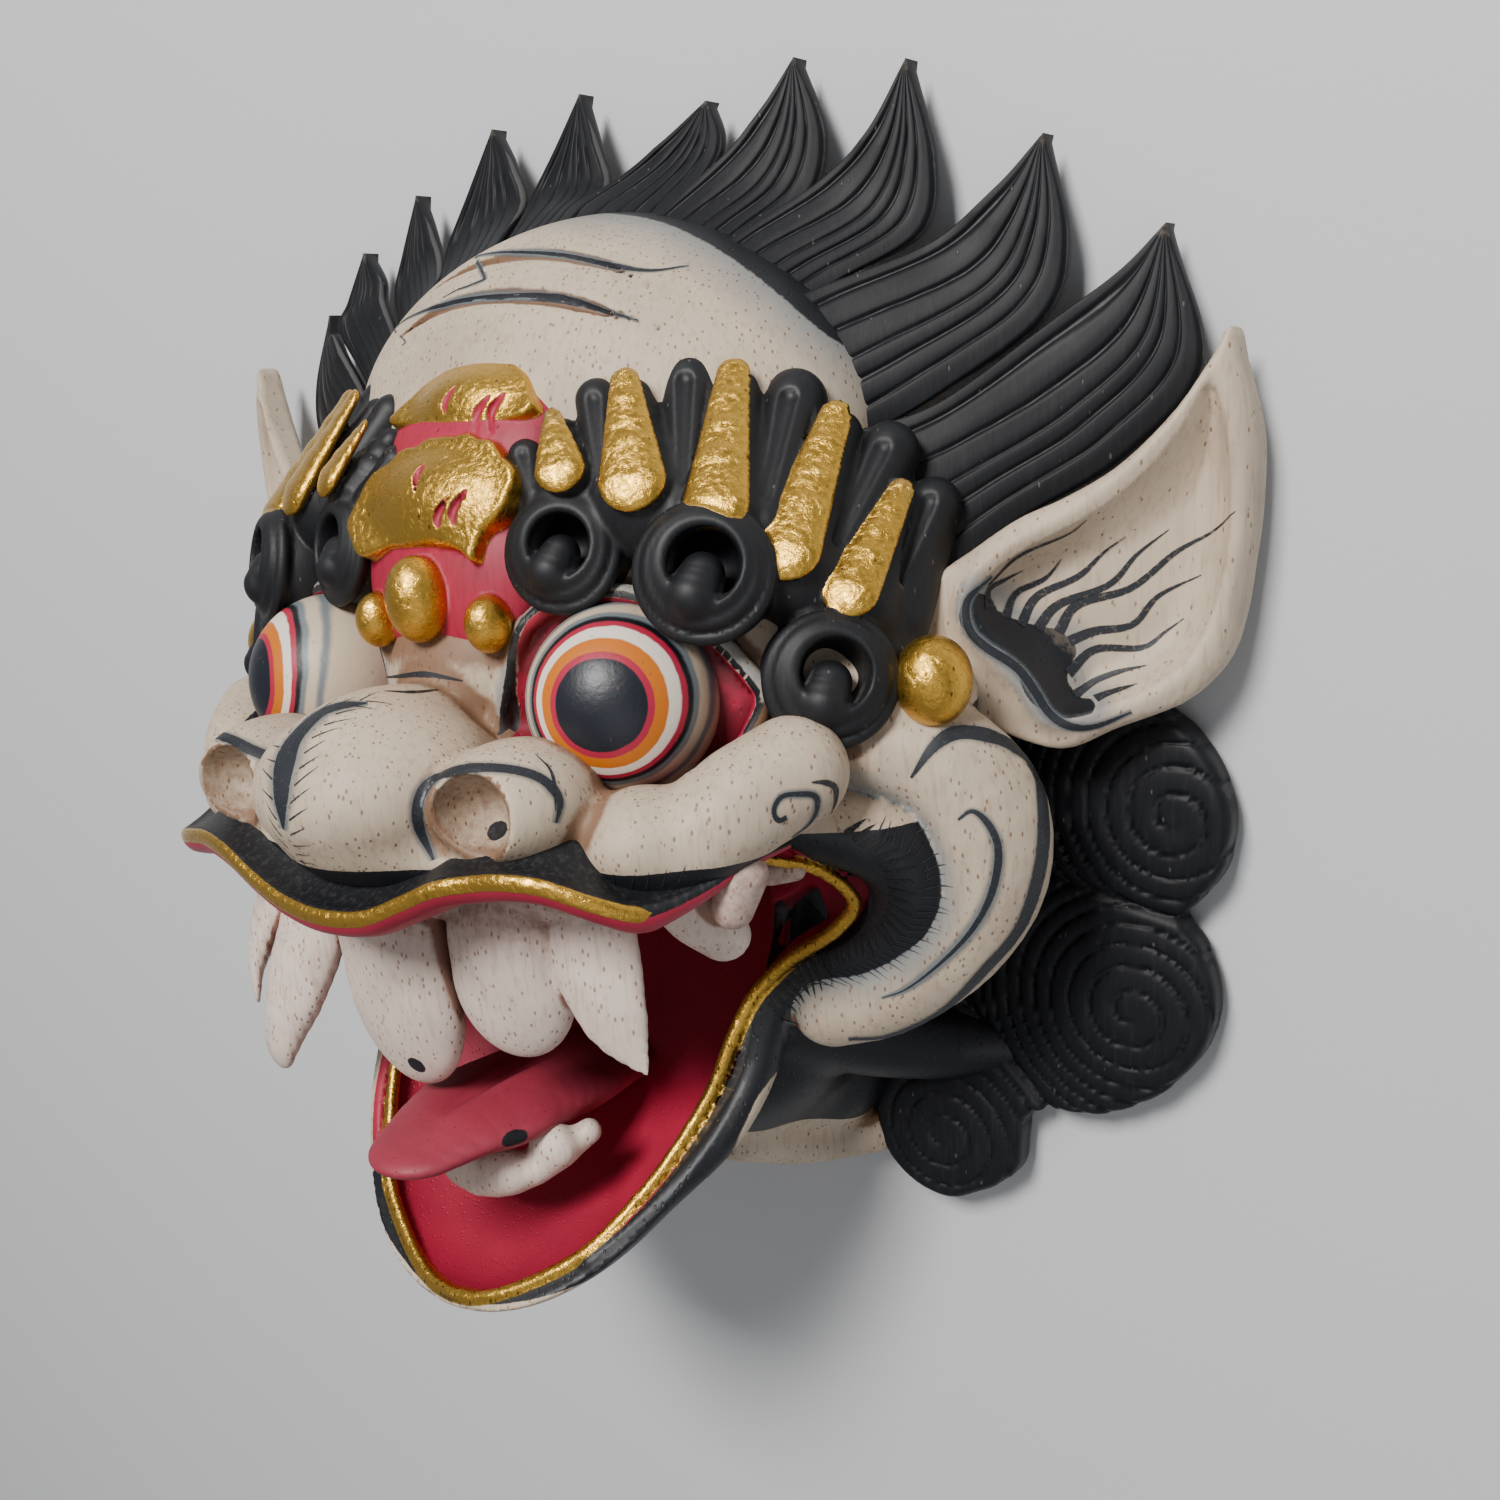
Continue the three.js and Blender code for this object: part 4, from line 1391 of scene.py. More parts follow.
@dataclass
class Mouthful:
    """Upper teeth, lower teeth, gum and tongue."""

    tooth_chip: Point = (-8, -88, 113)
    tongue_chip: Point = (17.5, -102.5, 108.3)

    def upper(self) -> Form:
        """The upper row: two incisors, uneven fangs, and the small teeth at the corners.

        Returns:
            The form.
        """
        incisor_right = Union(
            (Ellipsoid((20, -64, 106), (15, 19, 7.5), turning(pitch=6, yaw=12)), 1.0),
            (Ellipsoid((20, -50, 107), (13.5, 14, 8), turning(yaw=12)), 5.0),
        )
        incisor_left = Union(
            (Ellipsoid((-14, -71, 108), (19, 25, 8), turning(pitch=6, yaw=-6)), 1.0),
            (Ellipsoid((-14, -54, 109), (17, 15, 8.5), turning(yaw=-6)), 5.0),
        )
        fang_right = Strand(
            [(38, -46, 102), (42, -58, 103), (47, -70, 104), (54, -80, 104)], [12, 10.5, 7.5, 1.0],
            flat=((0.35, 0, 1), 0.42),
        )
        fang_left = Union(
            (Strand(
                [(-43, -48, 102), (-50, -66, 105), (-56, -82, 109), (-58, -92, 112)], [13, 13, 11.5, 7],
                flat=((-0.3, 0, 1), 0.4),
            ), 1.0),
            (Strand(
                [(-60, -46, 92), (-69, -60, 99), (-73, -74, 104), (-70, -84, 108)], [10, 9, 6, 1.5],
                flat=((-0.6, 0, 1), 0.45),
            ), 0.8),
        )
        corner_right = Union(
            (Strand(
                [(62, -38, 98), (64, -45, 94), (66, -52, 89)], [8.5, 8, 6], flat=((0.6, 0, 1), 0.6)
            ), 1.0),
            (Strand([(77, -35, 96), (75, -42, 97)], [5.5, 4.5], count=3), 0.6),
            (Strand([(73.5, -39.5, 81), (78.5, -39, 79)], [3.1, 2.6], count=3), 0.6),
        )
        gum = Strand(
            [(-62, -40, 92), (-30, -42, 104), (0, -43, 108), (30, -42, 104), (62, -38, 96)], [6, 8, 8, 8, 5]
        )
        return Union(
            (gum, 1.0), (incisor_left, 0.8), (incisor_right, 0.8), (fang_left, 0.8), (fang_right, 0.8),
            (corner_right, 0.8), (Ellipsoid((-75, -37, 98), (6, 7.5, 6)), 0.6),
        )

    def lower(self) -> Form:
        """The small wavy row in the jaw.

        Returns:
            The form.
        """
        row = [(-22, -111, 92), (-12, -116.5, 100), (0, -119, 103), (13, -115, 99), (24, -107, 91)]
        bumps = ((-16, -112, 98), (-5, -116, 104), (7, -115.5, 103), (18, -109, 97))
        small = [(Ellipsoid(at, (6.5, 5.4, 4.6)), 2.0) for at in bumps]
        return Union((Strand(row, [3, 4.4, 4.8, 4.4, 3]), 1.0), *small)

    def tongue(self) -> Form:
        """The broad pink tongue, dished along its middle.

        Returns:
            The form.
        """
        path = [(0, -107, 56), (0, -104, 82), (-1, -102.5, 103), (-2, -104, 118)]
        body = Strand(path, [16, 20, 20.5, 13], count=16, flat=((0, 1, 0.05), 0.3))
        return Carved(body, (Strand([(0, -96, 60), (-2, -95.5, 120)], [3.6, 3.0], count=4), 3.0))

    def build(self, effects: Effects) -> None:
        """Builds the mouth's pieces.

        Args:
            effects: the shared surface effects.
        """
        chipped = (Layer.BLACK,)
        enamel = CarvedFinish(
            "Painted teeth", ground=TOOTH, stain_and_shade=shade(132, 84, 64), layers=chipped, pores=0.9,
            stain_and_shade_reach=0.55,
        ).build(effects)
        row = polygonise(self.upper(), 1.0)
        # painted shade and stain: the teeth darken towards their roots, under the lip
        roots = np.clip((row.points[:, 1] + 66) / 22, 0, 1)
        row.measures["hollow"] = row.measures["hollow"] * (1.3 + 0.6 * roots) + 0.8 * roots
        paint(row, Layer.BLACK, np.linalg.norm(row.points - self.tooth_chip, axis=1) - 2.6)
        declare(make_object("upper_teeth_look", row, enamel), "tooth_paint", "upper_teeth")
        small = polygonise(self.lower(), 0.9)
        paint(small, Layer.BLACK, np.full(len(small.points), 8.0))
        declare(make_object("lower_teeth_look", small, enamel), "tooth_paint", "lower_teeth")
        # painted shade: the tongue turns a darker rose in its hollows, as along its dished middle
        pink = CarvedFinish(
            "Painted tongue", ground=ROSE, stain_and_shade=shade(120, 36, 44), layers=chipped, pores=0.1
        ).build(effects)
        tongue = polygonise(self.tongue(), 1.0)
        chip = (tongue.points - self.tongue_chip) * (0.6, 1, 0.6)
        paint(tongue, Layer.BLACK, np.linalg.norm(chip, axis=1) - 2.0)
        declare(make_object("tongue_look", tongue, pink), "tongue_paint", "tongue")


class Leaf(Form):
    """An ear: a leaf-shaped slab in its own slanted plane, dished inside an inner outline."""

    def __init__(self, outline: Array, dish: Array, thick: float, depth: float, to_plane: Callable) -> None:
        """Keeps the outline and how the leaf is dished.

        Args:
            outline: its corners in its own plane.
            dish: the line that it is dished along.
            thick: its thickness.
            depth: how deep the dish is.
            to_plane: turns places into the plane of the leaf.
        """
        self.outline, self.dish = Plate(outline, 0, thick), Plate(dish, 0, thick)
        self.thick, self.depth, self.to_plane = thick, depth, to_plane
        self.low, self.high = np.array([80, -40, 0]), np.array([160, 90, 60])

    def raw(self, points: Array) -> Array:
        """The signed distance to the dished leaf.

        Args:
            points: N by 3 places.

        Returns:
            N distances.
        """
        q = self.to_plane(points)
        side = self.outline.flat_distance(q) + 2.0
        inner = -self.dish.flat_distance(q)
        steep = np.clip((130 - points[:, 0]) / 25, 0, 1)
        sunk = np.clip(inner / (10.0 - 5.5 * steep), 0, 1)
        rim = (1.2 + 2.2 * steep) * np.exp(-((inner + 2.0) ** 2) / (6.0 + 5 * steep))
        top = q[:, 2] - (self.thick + rim - self.depth * np.sin(sunk * 1.57))
        rise = np.maximum(top, -q[:, 2]) * 0.9 + 2.0
        outer = np.sqrt(np.maximum(side, 0) ** 2 + np.maximum(rise, 0) ** 2)
        return (outer + np.minimum(np.maximum(side, rise), 0) - 2.0) * 0.9


@dataclass
class Ear:
    """The large pointed ears, ivory with a dark flame in the dish."""

    outline: tuple[Flat, ...] = (
        (150, 66), (152, 58), (155, 44), (155, 30), (154, 19), (152, 5), (149, -4), (143, -11), (137, -14),
        (129, -17), (120, -21), (112, -19), (103, -14), (94, -9), (91, 4), (94, 16), (104, 24), (112, 29.5),
        (120, 33), (130, 39), (140, 49), (146, 58),
    )
    dish: tuple[Flat, ...] = (
        (147, 55), (150, 46), (151, 30), (149, 12), (144, -1), (136, -8), (126, -12), (119, -12), (115, -5),
        (109, 3), (105, 10), (107, 17), (114, 23), (125, 29), (135, 37), (142, 46),
    )
    dark: tuple[Flat, ...] = (
        (104, 15), (102, 9), (105, 5), (109, 2.5), (112, -2), (114, -8), (117, -11.5), (121, -13.5),
        (126, -12.5), (125, -10.5), (121, -9.5), (119, -5), (120, 0), (117, 4), (113, 5.5), (110, 7),
        (107, 9.5), (106, 14),
    )
    thick: float = 8.5
    depth: float = 7.0
    left_rise: float = 10.0

    @staticmethod
    def to_plane(points: Array) -> Array:
        """Places in the ear's slanted plane, with their height over its underside.

        Args:
            points: N by 3 places.

        Returns:
            N by 3 places in the plane.
        """
        slant = 0.5
        height = (points[:, 2] + slant * points[:, 0] - 93) / math.hypot(1, slant) + 8.5
        return np.stack([points[:, 0], points[:, 1], height], axis=1)

    def build(self, effects: Effects) -> list[Piece]:
        """Builds both ears and returns them.

        Args:
            effects: the shared surface effects.

        Returns:
            The two objects.
        """
        outline = curve_through(list(self.outline), 90, closed=True)
        dish = curve_through(list(self.dish), 80, closed=True)
        leaf = Leaf(outline, dish, self.thick, self.depth, self.to_plane)
        solid = Carved(leaf, (Slab((0, 0, 0.2), (0, 0, 1)), 0.3))
        skin = polygonise(solid, 0.95)
        p = skin.points
        dark = Plate(curve_through(list(self.dark), 60, closed=True), 0, 9)
        up = skin.normals[:, 2] > 0.1
        paint(skin, Layer.BLACK, np.where(up, dark.flat_distance(p), 8.0))
        edge = leaf.dish.flat_distance(p)
        halo = np.clip(1 - np.abs(dark.flat_distance(p) - 1) / 4, 0, 1)
        skin.measures["wash"] = 0.9 * halo * up * (edge < 4)
        finish = CarvedFinish("Painted ear", layers=(Layer.BLACK,), washed=True, stain_and_shade_reach=0.45)
        finish = finish.build(effects)
        right = make_object("ear_right_look", skin, finish)
        declare(right, "ivory_paint", "ear_right")
        left = Skin(skin.points * (-1, 1, 1), skin.quads[:, ::-1], skin.normals * (-1, 1, 1), skin.measures)
        lift = np.clip((np.abs(left.points[:, 0]) - 95) / 50, 0, 1) * self.left_rise
        left.points = left.points + np.stack([0 * lift, lift, 0 * lift], axis=1)
        other = make_object("ear_left_look", left, finish)
        declare(other, "ivory_paint", "ear_left")
        return [right, other]


@dataclass
class Brow:
    """The black brow over each eye: gilded fingers between scooped flutes, over three coils."""

    fingers: tuple[tuple[Point, Point, float, float], ...] = (
        ((34.5, 45.5, 90), (28.5, 56, 84), 5.6, 2.2), ((50.5, 42.5, 86.5), (41.5, 62, 75), 7.2, 3.4),
        ((67, 37, 81), (59.5, 62, 61), 7.0, 3.8), ((79, 27, 74), (79, 52, 53), 7.0, 3.8),
        ((89, 18, 67), (91.5, 36, 49), 6.2, 3.0),
    )
    flutes: tuple[tuple[Point, Point, float], ...] = (
        ((43, 42, 88), (33, 61, 76), 5.0), ((60, 38, 83), (49, 64, 64), 6.6),
        ((74, 34, 75), (69, 59, 54), 6.8), ((84, 24, 67), (87, 47, 46), 6.4),
        ((92, 14, 57), (95, 35, 42), 6.0), ((27, 42, 92), (21, 50, 87), 4.0),
    )
    coils: tuple[tuple[Point, Point, float], ...] = (
        ((35, 30, 94.5), (0.35, 0.25, 1), 13.2), ((68, 25.5, 89.5), (0.55, 0.25, 1), 14.8),
        ((89.5, 2, 77), (0.85, 0.2, 1), 14.4),
    )
    lift: Point = (0.35, 0.5, 0.8)

    @staticmethod
    def coil(at: Point, normal: Point, radius: float) -> tuple[list, list, list]:
        """A coiled lock: ringed dome with a deep eye and a knob tucked into it.

        Args:
            at: the middle of the coil's face.
            normal: the way it faces.
            radius: its outer radius in mm.

        Returns:
            The solid parts, the cuts, and the knob, each with its blend.
        """
        n = Vector(normal).normalized()
        a = Vector((0, 1, 0)).cross(n).normalized()
        b = n.cross(a)
        middle = Vector(at)
        solids: list[tuple[Form, float]] = [
            (Ellipsoid(tuple(middle - n * radius * 0.72), (radius * 0.97,) * 3), 1.0)
        ]
        for reach, thick, shift, sink in (
            (0.89, 0.11, -0.02, 0.22), (0.74, 0.10, 0.03, 0.09), (0.59, 0.10, 0.08, 0.03)
        ):
            heart = middle + b * radius * shift - n * radius * sink
            path = []
            for i in range(24):
                angle = 2 * math.pi * i / 24
                path.append(tuple(heart + (a * math.cos(angle) + b * math.sin(angle)) * radius * reach))
            solids.append((Strand(path, [radius * thick], count=48, closed=True), 1.3))
        slant = (a * 0.45 + b).normalized()
        eye = Strand(
            [
                tuple(middle + slant * radius * 0.08 + n * 3),
                tuple(middle + slant * radius * 0.10 - n * radius * 0.36),
            ],
            [radius * 0.52, radius * 0.46],
            count=4,
        )
        knob = Strand(
            [
                tuple(middle - slant * radius * 0.36 - n * radius * 0.12),
                tuple(middle - slant * radius * 0.06 - n * radius * 0.20),
            ],
            [radius * 0.38, radius * 0.32],
            count=4,
        )
        return solids, [(eye, 1.2)], [(knob, 0.8)]

    def build(self, effects: Effects) -> None:
        """Builds both brows.

        Args:
            effects: the shared surface effects.
        """
        n = Vector(self.lift).normalized()

        def sunk(spot: Point, by: float) -> Point:
            """A place moved back into the face."""
            return tuple(Vector(spot) - n * by)

        parts: list[tuple[Form, float]] = [
            (Strand(
                [(24, 36, 84), (45, 34, 80), (64, 28, 74), (80, 14, 64), (90, 0, 58)], [7, 9, 9, 9, 8],
                count=18,
            ), 1.0),
        ]
        for low, high, radius in self.flutes:
            parts.append((Strand([sunk(low, 8), sunk(high, 7)], [radius + 2, radius], count=4), 3.0))
        for low, high, r0, r1 in self.fingers:
            parts.append((Strand([sunk(low, 8), sunk(high, 6)], [r0 + 3, r1 + 1], count=4), 3.0))
        scoops = []
        for low, high, radius in self.flutes:
            parts.append(
                (Strand([sunk(low, 2.5), sunk(high, radius * 0.75)], [radius * 0.62, radius], count=5), 0.7)
            )
            start = Vector(low).lerp(Vector(high), 0.15) + n * radius * 0.35
            end = Vector(low).lerp(Vector(high), 0.92) + n * radius * 0.42
            scoops.append((Strand([tuple(start), tuple(end)], [radius * 0.16, radius * 0.36], count=4), 0.8))
        made = [self.coil(*coil) for coil in self.coils]
        domes, eyes, knobs = ([piece for coil in made for piece in coil[kind]] for kind in range(3))
        pads = [
            (Strand([sunk(low, -2.0), sunk(high, -1.8)], [r0, r1], count=5, flat=(self.lift, 0.34)), 0.4)
            for low, high, r0, r1 in self.fingers
        ]
        gilded = Mirrored(Union(*pads))
        body = Union((Carved(Union(*parts), *scoops), 1.0), *domes, *pads)
        whole = Mirrored(Union((Carved(body, *eyes), 1.0), *knobs))
        skin = polygonise(whole, 0.88)
        skin = skin.part((skin.points[:, 2] > 34)[skin.quads].all(axis=1))
        p = skin.points
        inside = gilded.distance(p - skin.normals * 1.0) + 1.0
        paint(skin, Layer.GOLD, inside - 0.45)
        finish = CarvedFinish(
            "Painted brow", ground=BLACK, stain_and_shade=DUST, layers=(Layer.GOLD,), pores=0.05, stain_and_shade_reach=0.2,
            streaks=0.05,
        ).build(effects)
        right = (p[:, 0] > 0)[skin.quads].all(axis=1)
        declare(make_object("brow_right", skin.part(right), finish), "black_paint")
        declare(make_object("brow_left", skin.part(~right), finish), "black_paint")


class Turned(Form):
    """A form written about its own origin, set at a place and turned."""

    def __init__(self, form: Form, at: Point, turn: Array) -> None:
        """Keeps the form and how it is turned about a place.

        Args:
            form: the form to turn.
            at: the place that it turns about.
            turn: the rotation.
        """
        self.form, self.at, self.turn = form, np.array(at, dtype=np.float32), turn
        reach = np.linalg.norm(np.maximum(np.abs(form.low), np.abs(form.high)))
        self.low, self.high = self.at - reach, self.at + reach

    def raw(self, points: Array) -> Array:
        """The distance in the untouched frame of the form."""
        return self.form.distance(((points - self.at) @ self.turn).astype(np.float32))


@dataclass
class Crest:
    """The gilded crown ornament with its beads, on a red ground."""

    lower_crown: tuple[Flat, ...] = (
        (-24, 33.6), (-23.6, 38), (-22.2, 42), (-19, 45.6), (-15.2, 47.8), (-11, 50.4), (-7, 51.2),
        (-3.2, 52.6), (1.5, 52.6), (6.7, 53), (10.5, 52.2), (14, 51.4), (17, 49.4), (19.6, 47.6),
        (22.1, 45.6), (23.4, 42.4), (22.2, 39), (19.8, 36.2), (17.4, 33.6), (16, 31), (15.2, 27.6),
        (11.7, 29.3), (3.4, 31.5), (-7.8, 30.5), (-18.8, 28.5),
    )
    upper_crown: tuple[Flat, ...] = (
        (-20.9, 56), (-19.6, 59), (-17, 61.6), (-13.4, 64), (-9.4, 66), (-5.5, 67.6), (-1.7, 68.4), (2, 69.2),
        (6, 69), (9.5, 68), (12.6, 66.2), (15.5, 64), (17.8, 61.8), (20, 59.6), (20.8, 57.6), (18, 55.6),
        (12, 55), (0, 55), (-12, 55),
    )
    nicks: tuple[Point, ...] = (
        (8, 37.5, 99.4), (12, 38.5, 98.6), (0, 47, 96), (9.5, 58, 86), (13, 58.5, 84.6), (0, 61, 86)
    )

    def build(self, effects: Effects) -> None:
        """Builds the ornament and the temple bosses.

        Args:
            effects: the shared surface effects.
        """
        gilt: list[tuple[Form, float]] = []
        for (cx, cy, cz), pitch, size, outline in (
            ((1, 41, 92), -24, 1.0, self.lower_crown),
            ((1, 61, 78), -38, 0.82, self.upper_crown),
        ):
            squash = math.cos(math.radians(pitch))
            local = [(x - cx, (y - cy) / squash) for x, y in outline]
            edge = curve_through(local, 220, closed=True)
            turn = np.arctan2(edge[:, 1], edge[:, 0])
            edge = edge * (1 + 0.035 * np.abs(np.sin(7 * turn)))[:, None]
            plate = Plate(edge, -6, 3.4, round_by=1.2)
            dome = Ellipsoid((0, -1, 0), (19 * size, 11 * size, 7))
            gilt.append((Turned(Union((plate, 1.0), (dome, 3.0)), (cx, cy, cz), turning(pitch=pitch)), 0.7))
        gilt.append((Ellipsoid((0, 20, 102), (7.2, 9.6, 7.0)), 0.6))
        gilt += [(Ellipsoid((x, 14.5, 98.5), (5.0, 6.4, 5.6)), 0.6) for x in (-17, 17)]
        gold = Union(*gilt)
        ground = Union(
            (Ellipsoid((0, 52, 78), (25, 20, 10), turning(pitch=-35)), 1.0),
            (Ellipsoid((0, 24, 90), (25, 22, 10), turning(pitch=-10)), 4.0),
        )
        nicks = []
        for x, y, z in self.nicks:
            nicks.append((Strand(
                [(x + 1, y + 4, z - 1.6), (x - 1.6, y, z + 0.4), (x - 0.5, y - 4, z + 1.8)], [0.3, 1.0, 0.3],
                count=8,
            ), 0.4))
        whole = Carved(Union((ground, 1.0), (gold, 0.4)), *nicks)
        skin = polygonise(whole, 0.8)
        skin = skin.part((skin.points[:, 2] > 55)[skin.quads].all(axis=1))
        p = skin.points
        cut = Union(*nicks).distance(p)
        paint(skin, Layer.GOLD, np.maximum(gold.distance(p - skin.normals) + 1.0 - 0.4, 0.25 - cut))
        # painted shade: the red ground turns deep red in the crest's hollows
        finish = CarvedFinish(
            "Crest", ground=CRIMSON, stain_and_shade=shade(60, 12, 18), layers=(Layer.GOLD,), pores=0.1
        )
        declare(make_object("crest", skin, finish.build(effects)), "gold_leaf")
        boss = Mirrored(Ellipsoid((103, -1, 60), (8.2, 9.5, 8.5)))
        skin = polygonise(boss, 0.8)
        paint(skin, Layer.GOLD, np.full(len(skin.points), -4.0))
        finish = CarvedFinish("Gilded boss", ground=GOLD, layers=(Layer.GOLD,)).build(effects)
        declare(make_object("temple_bosses", skin, finish), "gold_leaf")


@dataclass
class Hair:
    """The upright hair: flame-shaped locks, each overlapping the one before it."""

    right: Locks = (
        (
            ((-6, 99, 36), (-7, 106, 25), (2, 113, 16), (11, 119, 13), (21, 127, 11)),
            ((18, 94, 36), (22, 103, 26), (27, 112, 18), (27, 119, 14), (23, 128, 11)),
        ),
        (
            ((16, 95, 36), (22, 103, 26), (34, 114, 17), (41, 123, 13), (47, 133, 11)),
            ((39, 88, 35), (46, 95, 26), (54, 103, 17), (55, 116, 13), (48, 133, 11)),
        ),
        (
            ((37, 89, 35), (44, 95, 27), (58, 104, 17), (68, 113, 13), (76, 128, 11)),
            ((58, 76, 35), (66, 82, 27), (81, 91, 16), (83, 106, 13), (77, 128, 11)),
        ),
        (
            ((56, 77, 36), (66, 81, 28), (86, 88, 17), (99, 98, 13), (108, 108, 11)),
            ((76, 48, 34), (90, 56, 27), (110, 70, 17), (114, 86, 13), (109, 108, 11)),
        ),
        (
            ((75, 49, 35), (92, 54, 28), (112, 68, 18), (126, 78, 13), (134, 87, 11)),
            ((92, 14, 42), (108, 28, 28), (128, 40, 18), (143, 58, 13), (136, 87, 11)),
        ),
    )
    left: Locks = (
        (
            ((-28, 95, 38), (-29, 104, 26), (-31, 113, 16), (-25, 123, 13), (-18, 135, 11)),
            ((-4, 99, 36), (-5, 106, 25), (-5, 111, 16), (-9, 120, 13), (-16, 135, 11)),
        ),
        (
            ((-50, 86, 40), (-58, 94, 26), (-64, 103, 16), (-58, 115, 13), (-49, 131, 11)),
            ((-27, 95, 38), (-30, 103, 26), (-33, 111, 16), (-39, 121, 13), (-47, 131, 11)),
        ),
        (
            ((-64, 70, 42), (-76, 80, 26), (-87, 92, 16), (-85, 103, 13), (-80, 118, 11)),
            ((-49, 87, 40), (-57, 93, 26), (-66, 101, 16), (-72, 109, 13), (-78, 118, 11)),
        ),
        (
            ((-72, 54, 42), (-92, 68, 26), (-112, 84, 16), (-110, 92, 13), (-104, 105, 11)),
            ((-63, 71, 42), (-76, 78, 26), (-90, 90, 16), (-94, 97, 13), (-102, 105, 11)),
        ),
        (
            ((-82, 20, 42), (-104, 36, 26), (-126, 52, 16), (-129, 68, 13), (-122, 89, 11)),
            ((-71, 55, 42), (-92, 66, 26), (-113, 82, 16), (-118, 83, 13), (-120, 89, 11)),
        ),
    )
    grooves: float = 6.0
    groove_depth: float = 0.9
    thick: float = 4.0
    across: int = 84
    along: int = 88

    def lock(self, left: tuple[Point, ...], right: tuple[Point, ...], high_left: bool) -> Skin:
        """One lock, from its root to its tip, with grooves, an overlapping edge and a skirt to the wall.

        Args:
            left: its left edge, from the root to the tip.
            right: its right edge.
            high_left: whether its left edge overlaps its neighbour.

        Returns:
            The skin of the lock.
        """
        tip = (np.array(left[-1]) + np.array(right[-1])) / 2
        a = curve_through([*left[:-1], tuple(tip)], self.along)
        b = curve_through([*right[:-1], tuple(tip)], self.along)
        u = np.linspace(0, 1, self.across)[None]
        v = np.linspace(0, 1, self.along)[:, None]
        grid = a[:, None] * (1 - u)[..., None] + b[:, None] * u[..., None]
        fade = np.clip((1 - v) / 0.3, 0, 1)
        sweep = 0.22 * np.sin(2 * np.pi * u + 2.5 * v)
        uneven = 0.16 * np.sin(9.0 * u + 1.3) + 0.1 * np.sin(23.0 * u)
        wave = np.abs(np.sin(np.pi * (u * self.grooves + sweep + uneven)))
        groove = np.exp(-((wave / 0.2) ** 2))
        over = (1 - u if high_left else u) * np.ones_like(v)
        lift = 9 * u * (1 - u) * np.clip(1.1 - v, 0, 1) + 3.4 * over**1.5 * fade
        grid[:, :, 2] += lift - self.groove_depth * groove * fade - 0.25 * (1 - wave) * fade
        middle = grid.mean(axis=1, keepdims=True)
        skirts = []
        for edge in (grid[:, :1], grid[:, -1:]):
            rounded, under = edge.copy(), edge + (middle - edge) * 0.12
            rounded[:, :, 2] -= self.thick * 0.55
            under[:, :, 2] -= self.thick
            skirts.append((rounded, under))
        (r0, u0), (r1, u1) = skirts
        spine = middle - (0, 0, self.thick + 2)
        skin = sheet_skin(np.concatenate([spine, u0, r0, grid, r1, u1, spine], axis=1))
        skin.quads = skin.quads[:, ::-1]
        step = 0.9 * np.exp(-(((1 - over) / 0.05) ** 2)) * fade
        hollow = 1.5 * groove**2 * np.clip(fade + 0.1, 0, 1) + step
        proud = np.clip(v - 0.86, 0, 1) * 8 * np.ones_like(u)
        pad = np.zeros((self.along, 3))
        skin.measures["hollow"] = np.concatenate([pad, hollow, pad], axis=1).ravel()
        skin.measures["proud"] = np.concatenate([pad, proud, pad], axis=1).ravel()
        return skin

    def build(self, effects: Effects) -> None:
        """Builds the locks.

        Args:
            effects: the shared surface effects.
        """
        finish = CarvedFinish(
            "Painted hair", ground=BLACK, stain_and_shade=DUST, pores=0.05, stain_and_shade_reach=0.12, streaks=0.06, gloss=0.3
        ).build(effects)
        for side, locks, high_left in (("right", self.right, True), ("left", self.left, False)):
            for number, (a, b) in enumerate(locks, 1):
                piece = make_object(f"hair_{side}_{number}", self.lock(a, b, high_left), finish)
                declare(piece, "black_paint")


